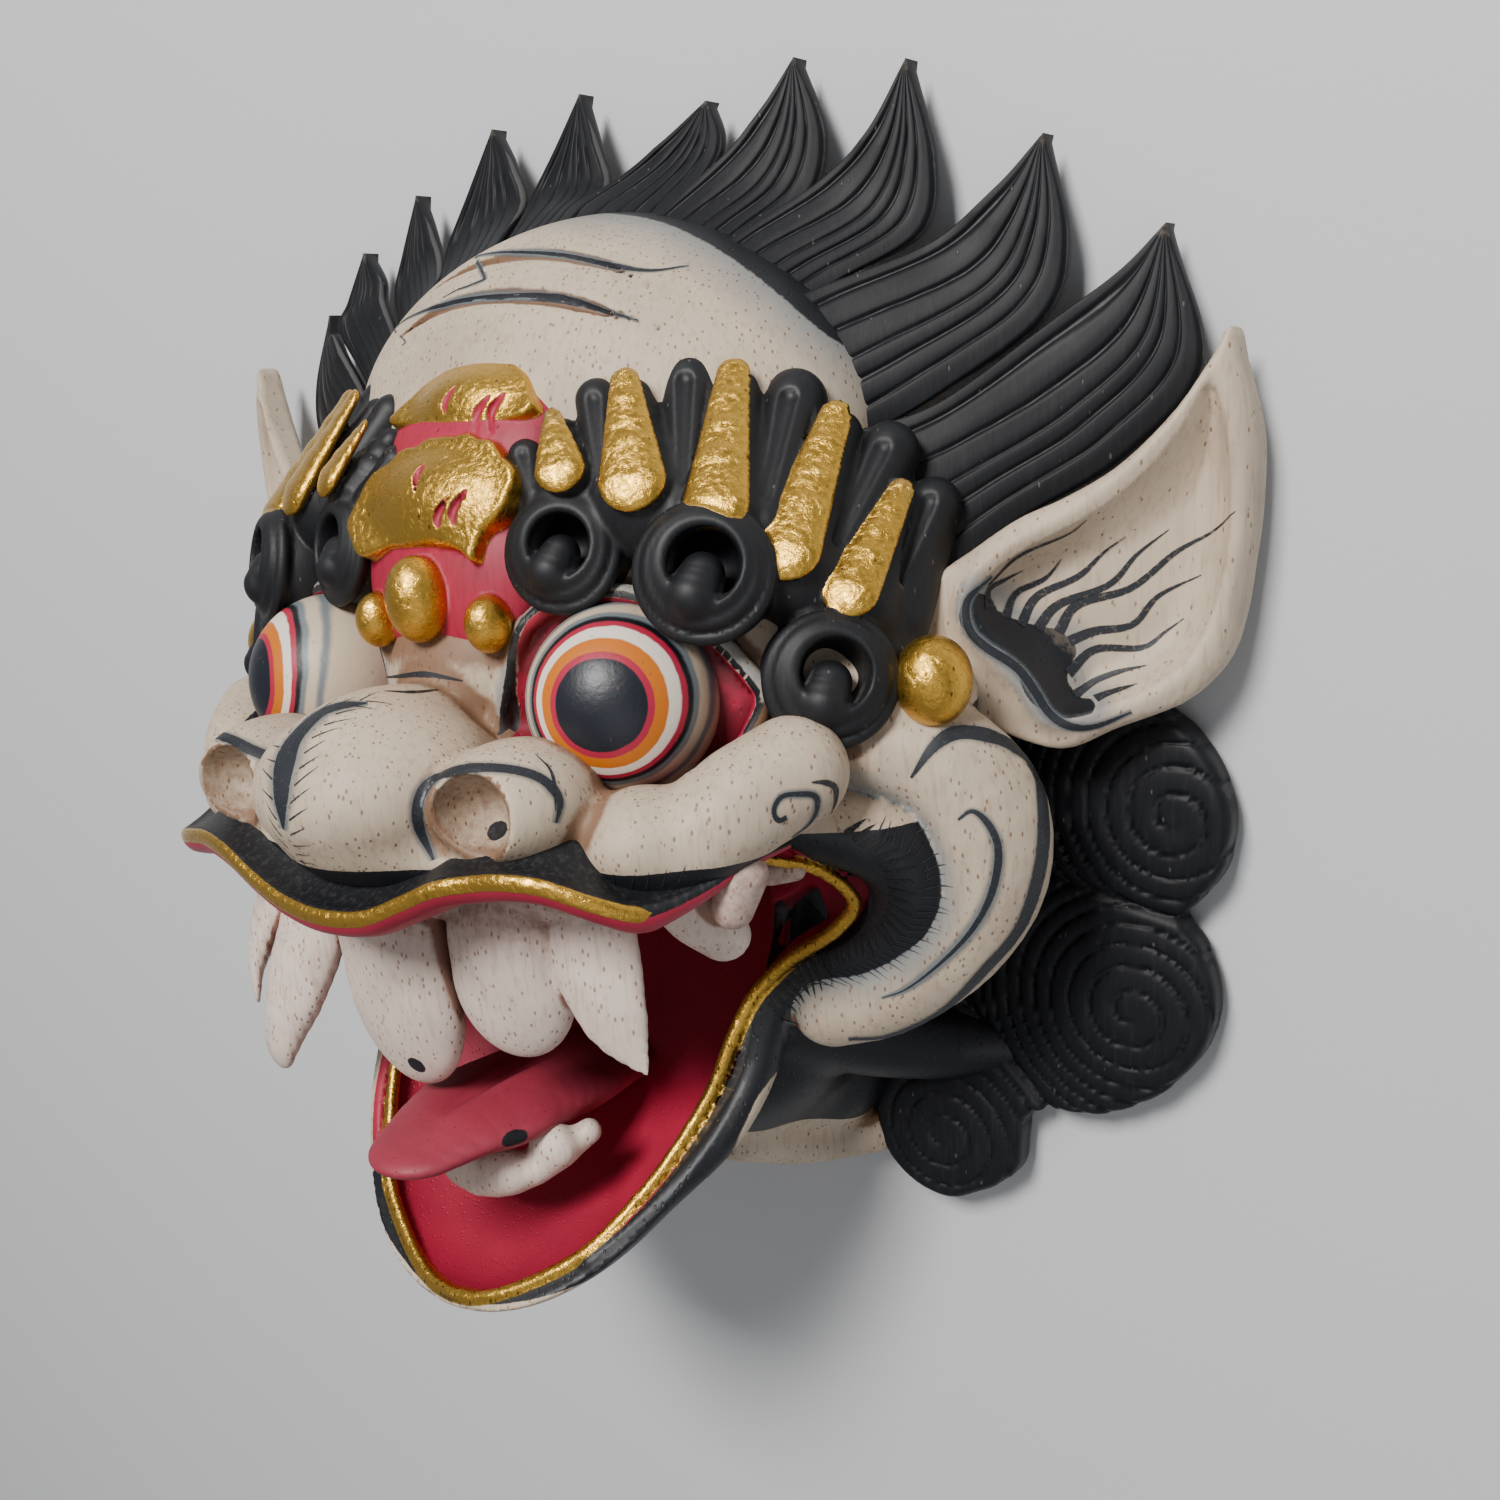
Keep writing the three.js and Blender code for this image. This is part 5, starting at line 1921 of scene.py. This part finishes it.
@dataclass
class Beard:
    """The curled black beard at each side: a thick plate carved with spirals."""

    outline: tuple[Flat, ...] = (
        (96, -10), (118, -10), (130, -13), (140, -19), (147, -29), (150, -39), (149, -50), (145, -58),
        (140, -65), (144, -71), (147, -82), (146, -93), (140, -104), (131, -113), (119, -120), (108, -122),
        (100, -124), (98, -132), (97, -139), (92, -145), (85, -149), (77, -153), (68, -152), (61, -148),
        (56, -142), (54, -134), (50, -120), (56, -96), (76, -60),
    )
    curls: tuple[tuple[Flat, float, float], ...] = (
        ((137, -40), 22, 1.0), ((127, -89), 24, 1.0), ((76, -133), 17, 1.0)
    )
    pitch: float = 8.4

    def build(self, effects: Effects) -> None:
        """Builds both sides.

        Args:
            effects: the shared surface effects.
        """
        outline = curve_through(list(self.outline), 150, closed=True)
        plate = Plate(outline, 3, 13.5, round_by=3.5)

        def depth(points: Array) -> Array:
            """How deep the coils are cut at each place.

            Args:
                points: N by 3 places.

            Returns:
                N depths.
            """
            first = np.full(len(points), 1e3)
            second = np.full(len(points), 1e3)
            phase = np.zeros(len(points))
            reach = np.zeros(len(points))
            for (cx, cy), radius, arms in self.curls:
                dx, dy = points[:, 0] - cx, points[:, 1] - cy
                r = np.hypot(dx, dy)
                near = r - radius
                pick = near < first
                second = np.where(pick, first, np.minimum(second, near))
                first = np.where(pick, near, first)
                spiral = arms * np.arctan2(dy, dx) / (2 * math.pi) + (r + 0.02 * r * r) / self.pitch
                phase = np.where(pick, spiral, phase)
                reach = np.where(pick, r, reach)
            ridge = np.abs(np.sin(np.pi * phase))
            crease = np.exp(-(((second - first) / 2.5) ** 2))
            fade = np.clip((points[:, 2] - 3) / 4, 0, 1)
            groove = 0.6 * np.exp(-((ridge / 0.2) ** 2)) + 0.22 * (1 - ridge)
            groove = groove * np.clip((reach - 1.5) / 2, 0, 1)
            return (groove + 1.2 * crease + 0.07 * np.maximum(reach - 6, 0)) * fade

        solid = Mirrored(Rippled(plate, depth))
        skin = polygonise(solid, 1.05)
        skin.measures["proud"] = 0.2 * skin.measures["proud"]
        finish = CarvedFinish(
            "Painted beard", ground=BLACK, stain_and_shade=DUST, pores=0.05, stain_and_shade_reach=0.08, streaks=0.08, gloss=0.35
        ).build(effects)
        right = (skin.points[:, 0] > 0)[skin.quads].all(axis=1)
        declare(make_object("beard_right", skin.part(right), finish), "black_paint")
        declare(make_object("beard_left", skin.part(~right), finish), "black_paint")


# --- painted strokes


def fringe_nodes() -> Tree:
    """Geometry nodes that lay a row of tapered brush strokes along a guide, on a surface.

    Returns:
        The node tree.
    """
    tree = bpy.data.node_groups.new("Fringe", "GeometryNodeTree")
    face = tree.interface
    face.new_socket("Geometry", in_out="INPUT", socket_type="NodeSocketGeometry")
    face.new_socket("Surface", in_out="INPUT", socket_type="NodeSocketObject")
    face.new_socket("Paint", in_out="INPUT", socket_type="NodeSocketMaterial")
    for name, kind, value in (
        ("Count", "NodeSocketInt", 20), ("Length", "NodeSocketFloat", 5 * MM),
        ("Width", "NodeSocketFloat", 0.4 * MM), ("Lean", "NodeSocketFloat", 1.2),
        ("Turn", "NodeSocketFloat", 0.0), ("Scatter", "NodeSocketFloat", 0.15),
        ("Lift", "NodeSocketFloat", 0.12 * MM), ("Seed", "NodeSocketInt", 3),
    ):
        face.new_socket(name, in_out="INPUT", socket_type=kind).default_value = value
    face.new_socket("Geometry", in_out="OUTPUT", socket_type="NodeSocketGeometry")
    given = tree.nodes.new("NodeGroupInput").outputs
    leave = tree.nodes.new("NodeGroupOutput")

    def add(kind: str, settings: dict | None = None, **inputs) -> Node:
        """Adds a node to the tree."""
        return Shader(tree).node(kind, settings, **inputs)

    def math(kind: str, a: Value, b: Value) -> Socket:
        """A math node on two values."""
        return Shader(tree).math(kind, a, b)

    surface = add(
        "GeometryNodeObjectInfo", {"transform_space": "RELATIVE"}, Object=given["Surface"]
    ).outputs["Geometry"]
    normal = add("GeometryNodeInputNormal").outputs["Normal"]
    curve = add("GeometryNodeMeshToCurve", Mesh=given["Geometry"]).outputs[0]
    points = add("GeometryNodeCurveToPoints", {"mode": "COUNT"}, Curve=curve, Count=given["Count"])
    facing = add(
        "GeometryNodeSampleNearestSurface", {"data_type": "FLOAT_VECTOR"}, Mesh=surface, Value=normal
    )
    turn = add("FunctionNodeAxesToRotation", {"primary_axis": "Z", "secondary_axis": "X"})
    tree.links.new(facing.outputs["Value"], turn.inputs[0])
    tree.links.new(points.outputs["Tangent"], turn.inputs[1])
    wander = add(
        "FunctionNodeRandomValue", {"data_type": "FLOAT"}, i2=-1.0, i3=1.0, Seed=given["Seed"]
    ).outputs[1]
    share = math("DIVIDE", add("GeometryNodeInputIndex").outputs[0], given["Count"])
    lean = math("ADD", given["Lean"], math("MULTIPLY", wander, given["Scatter"]))
    lean = math("ADD", lean, math("MULTIPLY", given["Turn"], share))
    spin = add("FunctionNodeAxisAngleToRotation", i0=(0, 0, 1), i1=lean).outputs[0]
    turned = add(
        "FunctionNodeRotateRotation", {"rotation_space": "LOCAL"}, i0=turn.outputs[0], i1=spin
    ).outputs[0]
    stroke = add("GeometryNodeMeshGrid", Size_X=1.0, Size_Y=1.0, Vertices_X=9, Vertices_Y=3).outputs["Mesh"]
    place = add("ShaderNodeSeparateXYZ", i0=add("GeometryNodeInputPosition").outputs[0]).outputs
    along = math("ADD", place[0], 0.5)
    taper = math("SUBTRACT", 1.0, math("POWER", along, 1.4))
    shaped = add("ShaderNodeCombineXYZ", i0=along, i1=math("MULTIPLY", place[1], taper), i2=0.0).outputs[0]
    stroke = add("GeometryNodeSetPosition", Geometry=stroke, Position=shaped).outputs[0]
    other = math("ADD", given["Seed"], 7)
    vary = add("FunctionNodeRandomValue", {"data_type": "FLOAT"}, i2=0.72, i3=1.15, Seed=other).outputs[1]
    size = add(
        "ShaderNodeCombineXYZ", i0=math("MULTIPLY", vary, given["Length"]), i1=given["Width"], i2=1.0
    ).outputs[0]
    rows = add(
        "GeometryNodeInstanceOnPoints", Points=points.outputs["Points"], Instance=stroke, Rotation=turned,
        Scale=size,
    ).outputs[0]
    real = add("GeometryNodeRealizeInstances", Geometry=rows).outputs[0]
    closest = add("GeometryNodeProximity", {"target_element": "FACES"}, i0=surface).outputs["Position"]
    raised = add(
        "ShaderNodeVectorMath", {"operation": "SCALE"}, i0=facing.outputs["Value"], Scale=given["Lift"]
    ).outputs[0]
    target = add("ShaderNodeVectorMath", {"operation": "ADD"}, i0=closest, i1=raised).outputs[0]
    laid = add("GeometryNodeSetPosition", Geometry=real, Position=target).outputs[0]
    done = add("GeometryNodeSetMaterial", Geometry=laid, Material=given["Paint"]).outputs[0]
    tree.links.new(done, leave.inputs[0])
    return tree


@dataclass(frozen=True)
class BrushPaint:
    """Thin matt paint of a brush line, soft at its edges if wanted."""

    name: str
    colour: Tint
    soft: bool = False

    def build(self) -> Material:
        """The paint as a material.

        Returns:
            The material.
        """
        material, shader = start_material(self.name)
        patchy = shader.step(shader.noise(0.9, 5.0, 0.7), 0.30, 0.50)
        alpha = shader.math("MAXIMUM", patchy, 0.55)
        if self.soft:
            fall = shader.step(shader.measure("edge"), 1.0, 0.1)
            alpha = shader.math("MULTIPLY", fall, shader.math("MULTIPLY_ADD", patchy, 0.3, 0.6))
        surface = shader.node("ShaderNodeBsdfPrincipled", Base_Color=self.colour, Roughness=0.55, Alpha=alpha)
        shader.node("ShaderNodeOutputMaterial", Surface=surface.outputs[0])
        return material


class Painter:
    """Lays brush lines on the carving as thin ribbons, seen from the viewer's side."""

    def __init__(self, surfaces: list[Piece], eye: Vector) -> None:
        """Gathers the surfaces that lines are laid on.

        Args:
            surfaces: the objects that can carry lines.
            eye: where the lines are seen from.
        """
        self.eye = eye
        points, faces = [], []
        for piece in surfaces:
            start = len(points)
            points += [tuple(v.co / MM) for v in piece.data.vertices]
            faces += [tuple(start + i for i in polygon.vertices) for polygon in piece.data.polygons]
        self.tree = BVHTree.FromPolygons(points, faces)
        self.shift = Vector((0, SHIFT_Y, 0))
        self.ribbons: dict[str, list[tuple[Array, Array]]] = {}

    def cast(self, spot: Array, way: int) -> tuple[Vector, Vector]:
        """Where the viewer sees a place on the carving, and the surface's normal there.

        Args:
            spot: a place in the working frame.
            way: 1 for the side given, -1 for its mirror image.

        Returns:
            The place and the normal.
        """
        origin = Vector((self.eye[0] * way, self.eye[1], self.eye[2])) + self.shift
        target = Vector(spot) + self.shift
        hit, normal, _, _ = self.tree.ray_cast(origin, (target - origin).normalized())
        if hit is None or (hit - target).length > 34:
            hit, normal, _, _ = self.tree.find_nearest(target)
        return hit, normal

    def line(self, paint: str, points: list[Point], widths: list[float], ways: tuple = (1, -1)) -> None:
        """Adds a line.

        Args:
            paint: which paint it is drawn in.
            points: places it passes over, in working mm.
            widths: its full width in mm, spread evenly from start to end.
            ways: 1 for the side given, -1 for its mirror image.
        """
        for way in ways:
            placed_points = [(x * way, y, z) for x, y, z in points]
            rough = curve_through(placed_points, 12)
            length = np.linalg.norm(np.diff(rough, axis=0), axis=1).sum()
            count = max(int(length / 0.5), 8)
            path = curve_through(placed_points, count)
            found = [self.cast(spot, way) for spot in path]
            centre = np.array([hit for hit, _ in found])
            normal = np.array([n for _, n in found])
            for _ in range(2):
                centre[1:-1] = (centre[:-2] + 2 * centre[1:-1] + centre[2:]) / 4
                normal[1:-1] = (normal[:-2] + 2 * normal[1:-1] + normal[2:]) / 4
            run = np.gradient(centre, axis=0)
            side = np.cross(normal, run)
            side /= np.linalg.norm(side, axis=1)[:, None] + 1e-9
            wide = np.interp(np.linspace(0, 1, count), np.linspace(0, 1, len(widths)), widths) / 2
            rows = []
            for across in (-1, -0.5, 0, 0.5, 1):
                row = []
                for place in centre + side * (wide * across)[:, None]:
                    hit, out, _, _ = self.tree.find_nearest(Vector(place))
                    row.append(tuple(hit + out * (0.13 + 0.07 * (paint == "line"))))
                rows.append(row)
            grid = np.array(rows).transpose(1, 0, 2)
            edge = np.tile(np.abs([-1, -0.5, 0, 0.5, 1]), count)
            self.ribbons.setdefault(paint, []).append((grid, edge))

    def bake(self, paint: str, name: str, finish: Material, slot: str) -> None:
        """Turns the lines of one paint into a piece.

        Args:
            paint: the paint whose lines are used.
            name: the piece's name.
            finish: its material.
            slot: its material slot in the record.
        """
        points, quads, edges, start = [], [], [], 0
        for grid, edge in self.ribbons[paint]:
            skin = sheet_skin(grid)
            points.append(skin.points)
            quads.append(skin.quads + start)
            edges.append(edge)
            start += len(skin.points)
        skin = Skin(np.concatenate(points) - (0, SHIFT_Y, 0), np.concatenate(quads), None)
        skin.measures["edge"] = np.concatenate(edges)
        declare(make_object(name, skin, finish), slot)


@dataclass
class Brushwork:
    """All the lines painted on the face and ears."""

    def build(self, painter: Painter, guide: Piece) -> None:
        """Paints the lines.

        Args:
            painter: lays lines on the carving.
            guide: the face that the lines are placed by.
        """
        line, wash = "line", "wash"
        upper = [(-22, 89.5, 68), (-10, 92, 68), (1, 93, 66), (17, 91, 64), (36, 86, 60), (46, 86, 56)]
        lower = [(-33, 77, 71), (-22, 81, 73), (-1, 83, 75), (24, 81, 74), (42, 75, 70)]
        painter.line(wash, lower, [0.5, 2.5, 5.0, 4.0, 1.5], (1,))
        painter.line(line, lower, [0.2, 0.7, 1.3, 2.2, 0.3], (1,))
        painter.line(wash, upper, [0.5, 2.5, 3.5, 3.0, 1.0], (1,))
        painter.line(line, upper, [0.2, 0.6, 0.5, 1.0, 1.2, 0.2], (1,))
        painter.line(line, [(-9, 3, 106), (3, 4, 105), (13, 3, 104)], [0.3, 1.5, 0.3], (1,))
        painter.line(line, [(-9, 0, 107), (-1, 0, 106), (7, 1, 106)], [0.3, 1.4, 0.3], (1,))
        drop = [
            (-2, 0, 118), (-2, 1, 126), (-3, 0, 131), (-4, -4, 137), (-3, -9, 141), (-2.5, -15, 143),
            (-3, -21, 143),
        ]
        painter.line(wash, drop, [3, 8, 12, 14, 14, 11, 3], (1,))
        painter.line(line, drop, [0.5, 3.4, 4.6, 6.2, 6.0, 4.2, 0.3], (1,))
        nostril = [
            (30, -26, 134), (28, -19, 135), (29, -14, 135), (32, -10, 134), (38, -7.5, 132), (44, -8, 127),
            (48, -11, 121), (50, -16, 118), (48.5, -21, 118),
        ]
        painter.line(wash, nostril, [3, 5, 5.5, 5.5, 5, 4.5, 4.5, 3], (1, -1))
        painter.line(line, nostril, [0.6, 2.2, 2.6, 2.5, 2.3, 2.2, 2.2, 0.4], (1, -1))
        painter.line(line, [(43, -8, 116), (46, -12, 115), (45, -20, 114)], [0.2, 0.8, 0.2])
        scroll = [
            (88, -22, 95), (86, -23, 95), (85, -21, 95), (87, -18, 95), (91, -17, 95), (95, -17, 95),
            (95, -20, 95), (93, -23, 95), (89, -26, 95),
        ]
        painter.line(wash, scroll, [1, 2.5, 3, 3, 2])
        painter.line(line, scroll, [1.3, 1.0, 0.9, 0.9, 1.1, 1.2, 0.8, 0.5, 0.2])
        painter.line(
            line, [(93, -15, 93), (95, -15, 92), (97, -16, 91), (97, -19, 91), (95, -22, 90)],
            [0.3, 1.2, 1.5, 0.9, 0.2],
        )
        outer = [
            (99, -21, 64), (104, -14, 62), (108, -12, 58), (115, -14, 54), (119, -19, 50), (121, -26, 48),
            (120, -41, 46), (115, -57, 46), (107, -68, 48), (97, -79, 50), (84, -87, 52), (74, -89, 54),
        ]
        painter.line(wash, outer, [1, 5, 7, 8, 8, 8, 7, 7, 6, 6, 5, 3])
        painter.line(line, outer, [0.4, 2.8, 4.0, 5.0, 5.4, 5.0, 4.4, 4.0, 3.2, 2.6, 2.0, 1.0])
        crescent = [
            (108, -30, 61), (111, -28, 60), (114, -32, 58), (115, -38, 57), (113, -47, 57), (108, -56, 57),
            (101, -64, 58), (93, -71, 59), (87, -74, 60),
        ]
        painter.line(wash, crescent, [1, 3.5, 4.5, 5, 5, 4.5, 4, 3, 1])
        painter.line(line, crescent, [0.3, 1.4, 1.6, 1.5, 1.2, 0.9, 0.6, 0.4, 0.15])
        strokes = [
            [(104, 10, 35), (104, 14, 35), (107, 16, 33), (111, 18, 32)],
            [(107, 8, 33), (109, 13, 32), (115, 16, 30), (118, 20, 28)],
            [(110, 6, 32), (113, 12, 30), (121, 16, 26), (126, 21, 24), (130, 24, 22)],
            [(113, 5, 30), (117, 10, 28), (127, 14, 24), (132, 20, 21), (138, 25, 18)],
            [(117, 4, 28), (121, 10, 27), (131, 13, 22), (139, 20, 17), (146, 24, 14), (150, 28, 12)],
            [(119, 2, 27), (124, 4, 25), (131, 5, 21), (136, 11, 19), (144, 15, 15)],
            [(119, -5, 28), (124, 0, 25), (133, 0, 21), (137, 3, 18), (141, 6, 17)],
            [(120, -10, 27), (124, -7, 25), (129, -5, 23), (134, -4, 20)],
            [(124, -11, 25), (126, -10, 24), (132, -8, 21)],
        ]
        for stroke in strokes:
            painter.line(line, stroke, [2.4, 1.9, 1.5, 1.3, 0.7, 0.15])
        painter.line(line, [(104, 15, 35), (110, 21, 32), (119, 25, 27), (123, 28, 26)], [0.6, 1.2, 0.9, 0.2])
        border = [
            (105, 17, 35), (100, 12, 37), (100, 6, 37), (103, 2, 36), (109, -3, 33), (112, -8, 31),
            (115, -14, 29), (119, -17, 27), (124, -17, 25), (131, -14, 22),
        ]
        painter.line(wash, border, [2, 4, 5, 5, 5, 5, 4, 3, 2])
        painter.line(line, border, [0.4, 1.4, 1.8, 1.8, 2.0, 2.0, 1.8, 1.6, 1.2, 0.2])
        black = BrushPaint("Brush black", shade(30, 33, 40)).build()
        grey = BrushPaint("Brush grey", WASH, soft=True).build()
        painter.bake(line, "brush_lines", black, "black_paint")
        painter.bake(wash, "brush_washes", grey, "black_paint")
        self.fringes(painter, guide, black)

    def fringes(self, painter: Painter, guide: Piece, ink: Material) -> None:
        """Lays the rows of fine hairs, and near-black strokes of painted shade that stand for the nicks of
        the black band, with geometry nodes.

        Args:
            painter: lays lines on the carving.
            guide: the face that the lines are placed by.
            ink: the material of the strokes.
        """
        tree = fringe_nodes()
        # painted shade: near-black strokes, darker than the black paint, stand for the shade in the band's
        # nicks
        shadow = BrushPaint("Nick shade strokes", shade(7, 7, 9)).build()
        inner = [
            (87.7, -36.8, 61), (96.7, -40.1, 59), (97.5, -47.2, 57), (94.4, -55.3, 57), (87.8, -63.2, 58),
            (79.4, -68.2, 60), (68.4, -73, 62), (63.8, -78.6, 63),
        ]
        band = [
            (86, -33, 70), (91, -40, 66), (91, -49, 62), (86, -57, 60), (76, -63, 62), (66, -70, 63),
            (60, -78, 65),
        ]
        left = [
            (-2, 1, 120), (-4, 1, 127), (-6, -1, 132), (-7, -4, 137), (-6, -9, 141), (-5, -15, 143),
            (-4, -22, 143), (-3, -29, 141),
        ]
        right = [
            (0, 1, 120), (1, 1, 127), (1, -1, 132), (1, -4, 137), (1, -10, 141), (0, -16, 143),
            (-1, -22, 143), (-2, -29, 141),
        ]
        roll = [(48, -36, 108), (54, -37, 108), (60, -37, 106), (66, -36, 103)]
        rows = (
            ("cheek", inner, 36, 7.0, 0.42, 1.35, 1.3, ink, True),
            # the nicks row is painted shade
            ("nicks", band, 32, 7.5, 1.5, 1.45, 0.0, shadow, True),
            ("drop_left", left, 15, 7.0, 0.4, -2.3, 0.0, ink, False),
            ("drop_right", right, 15, 6.5, 0.4, 2.3, 0.0, ink, False),
            ("roll", roll, 7, 5.0, 0.5, 1.2, 0.0, ink, True),
        )
        for number, (name, path, count, length, width, lean, turn, paint, both) in enumerate(rows):
            for way in (1, -1) if both else (1,):
                values = {"Surface": guide, "Paint": paint, "Count": count, "Length": length * MM}
                values |= {"Width": width * MM, "Lean": lean * way, "Turn": turn * way}
                values |= {"Scatter": 0.16, "Lift": 0.14 * MM, "Seed": number}
                side = "right" if way == 1 else "left"
                self.fringe(tree, painter, f"{name}_{side}", path, way, values)

    @staticmethod
    def fringe(
        tree: Tree, painter: Painter, name: str, path: list[Point], way: int, values: dict
    ) -> None:
        """Bakes one row of strokes into a piece.

        Args:
            tree: the node tree.
            painter: lays lines on the carving.
            name: the piece's name.
            path: the guide that the row follows.
            way: 1 for the side given, -1 for its mirror image.
            values: the tree's inputs by name.
        """
        path = curve_through([(x * way, y, z) for x, y, z in path], 60)
        spots = [painter.cast(spot, way)[0] * MM for spot in path]
        mesh = bpy.data.meshes.new("guide_row")
        mesh.from_pydata([tuple(spot) for spot in spots], [(i, i + 1) for i in range(len(spots) - 1)], [])
        row = bpy.data.objects.new("guide_row", mesh)
        link(row)
        modifier = row.modifiers.new("Fringe", "NODES")
        modifier.node_group = tree
        sockets = {item.name: item.identifier for item in tree.interface.items_tree if item.in_out == "INPUT"}
        for key, value in values.items():
            modifier[sockets[key]] = value
        row.update_tag()
        depsgraph = bpy.context.evaluated_depsgraph_get()
        baked = bpy.data.meshes.new_from_object(row.evaluated_get(depsgraph))
        bpy.data.objects.remove(row)
        piece = bpy.data.objects.new(f"strokes_{name}", baked)
        link(piece)
        if not baked.materials:
            baked.materials.append(values["Paint"])
        declare(piece, "black_paint")


# --- stage


@dataclass
class Stage:
    """The pale floor, the soft light and the camera over the lying mask."""

    distance: float = 326.04
    aim: Point = (62.97, -16.54, 70.0)
    azimuth: float = 34.99
    elevation: float = 13.72
    roll: float = -4.0
    floor_reach: float = 3.0

    def view_axes(self) -> tuple[Vector, Vector, Vector]:
        """The camera's right, up and back directions.

        Returns:
            The three directions.
        """
        az, el = math.radians(self.azimuth), math.radians(self.elevation)
        back = Vector((math.sin(az) * math.cos(el), math.sin(el), math.cos(az) * math.cos(el)))
        right = Vector((0, 1, 0)).cross(back).normalized()
        up = back.cross(right)
        turn = math.radians(self.roll)
        return (
            math.cos(turn) * right + math.sin(turn) * up, -math.sin(turn) * right + math.cos(turn) * up, back,
        )

    def viewpoint(self) -> Vector:
        """Where the camera stands, in working millimetres."""
        return Vector(self.aim) + self.view_axes()[2] * self.distance

    def add_camera(self) -> None:
        """Adds the camera and makes it the scene's."""
        right, up, back = self.view_axes()
        data = bpy.data.cameras.new("Camera")
        data.sensor_width = data.lens = 36.0
        data.clip_start, data.clip_end = 0.01, 20.0
        camera = bpy.data.objects.new("Camera", data)
        turn = Matrix((right, up, back)).transposed().to_4x4()
        turn.translation = Vector(placed(np.array(self.viewpoint())))
        camera.matrix_world = turn
        link(camera)
        bpy.context.scene.camera = camera

    def add_lamp(self, name: str, at: Point, power: float, size: float, tint: Point) -> None:
        """Adds a square area light that faces the mask's middle.

        Args:
            name: the light's name.
            at: its place in metres.
            power: its power in watts.
            size: its side in metres.
            tint: its colour.
        """
        data = bpy.data.lights.new(name, "AREA")
        data.energy, data.size, data.color = power, size, tint
        lamp = bpy.data.objects.new(name, data)
        lamp.location = at
        lamp.rotation_euler = (Vector(at) - Vector((0, 0, 0.05))).to_track_quat("Z", "Y").to_euler()
        link(lamp)

    def add_floor(self) -> None:
        """Adds the pale painted floor."""
        reach = self.floor_reach
        mesh = bpy.data.meshes.new("floor")
        corners = [(-reach, -reach, 0), (reach, -reach, 0), (reach, reach, 0), (-reach, reach, 0)]
        mesh.from_pydata(corners, [], [(0, 1, 2, 3)])
        material, shader = start_material("Pale floor")
        shader.surface(shade(205, 206, 208), 0.55, (0.15, 0.5, shader.noise(2.5, 5.0, 0.7)))
        mesh.materials.append(material)
        floor = bpy.data.objects.new("floor", mesh)
        link(floor)

    def build(self) -> None:
        """Sets up camera, floor and light."""
        self.add_camera()
        self.add_floor()
        self.add_lamp("Key", (0.1, 1.05, 1.45), 44.0, 0.5, (1.0, 0.985, 0.96))
        self.add_lamp("Fill", (1.0, -0.5, 1.5), 4.0, 1.2, (0.97, 0.98, 1.0))
        world = bpy.data.worlds.new("World")
        bpy.context.scene.world = world
        world.use_nodes = True
        world.node_tree.nodes["Background"].inputs["Color"].default_value = (0.95, 0.97, 1.0, 1.0)
        world.node_tree.nodes["Background"].inputs["Strength"].default_value = 0.25


def write_size() -> None:
    """Finds the bounds of the visible pieces, leaving out the CAD nodes and the floor; they are not written
    or used.
    """
    low, high = np.full(3, np.inf), np.full(3, -np.inf)
    for piece in bpy.context.scene.objects:
        if piece.type == "MESH" and piece.name not in frame["nodes"] and piece.name != "floor":
            places = np.empty(len(piece.data.vertices) * 3, dtype=np.float32)
            piece.data.vertices.foreach_get("co", places)
            places = places.reshape(-1, 3)
            low, high = np.minimum(low, places.min(axis=0)), np.maximum(high, places.max(axis=0))


def main() -> None:
    """Builds the mask and its setting."""
    logging.basicConfig(level=logging.INFO, format="%(message)s")
    effects = Effects()
    stage = Stage()
    guide = Face().build(effects)
    Eyes().build(effects)
    Lip().build(effects)
    Mouthful().build(effects)
    ears = Ear().build(effects)
    Brow().build(effects)
    Crest().build(effects)
    Hair().build(effects)
    Beard().build(effects)
    painter = Painter([guide, *ears], stage.viewpoint())
    Brushwork().build(painter, guide)
    bpy.data.objects.remove(guide)
    stage.build()
    write_size()


if __name__ == "__main__":
    main()
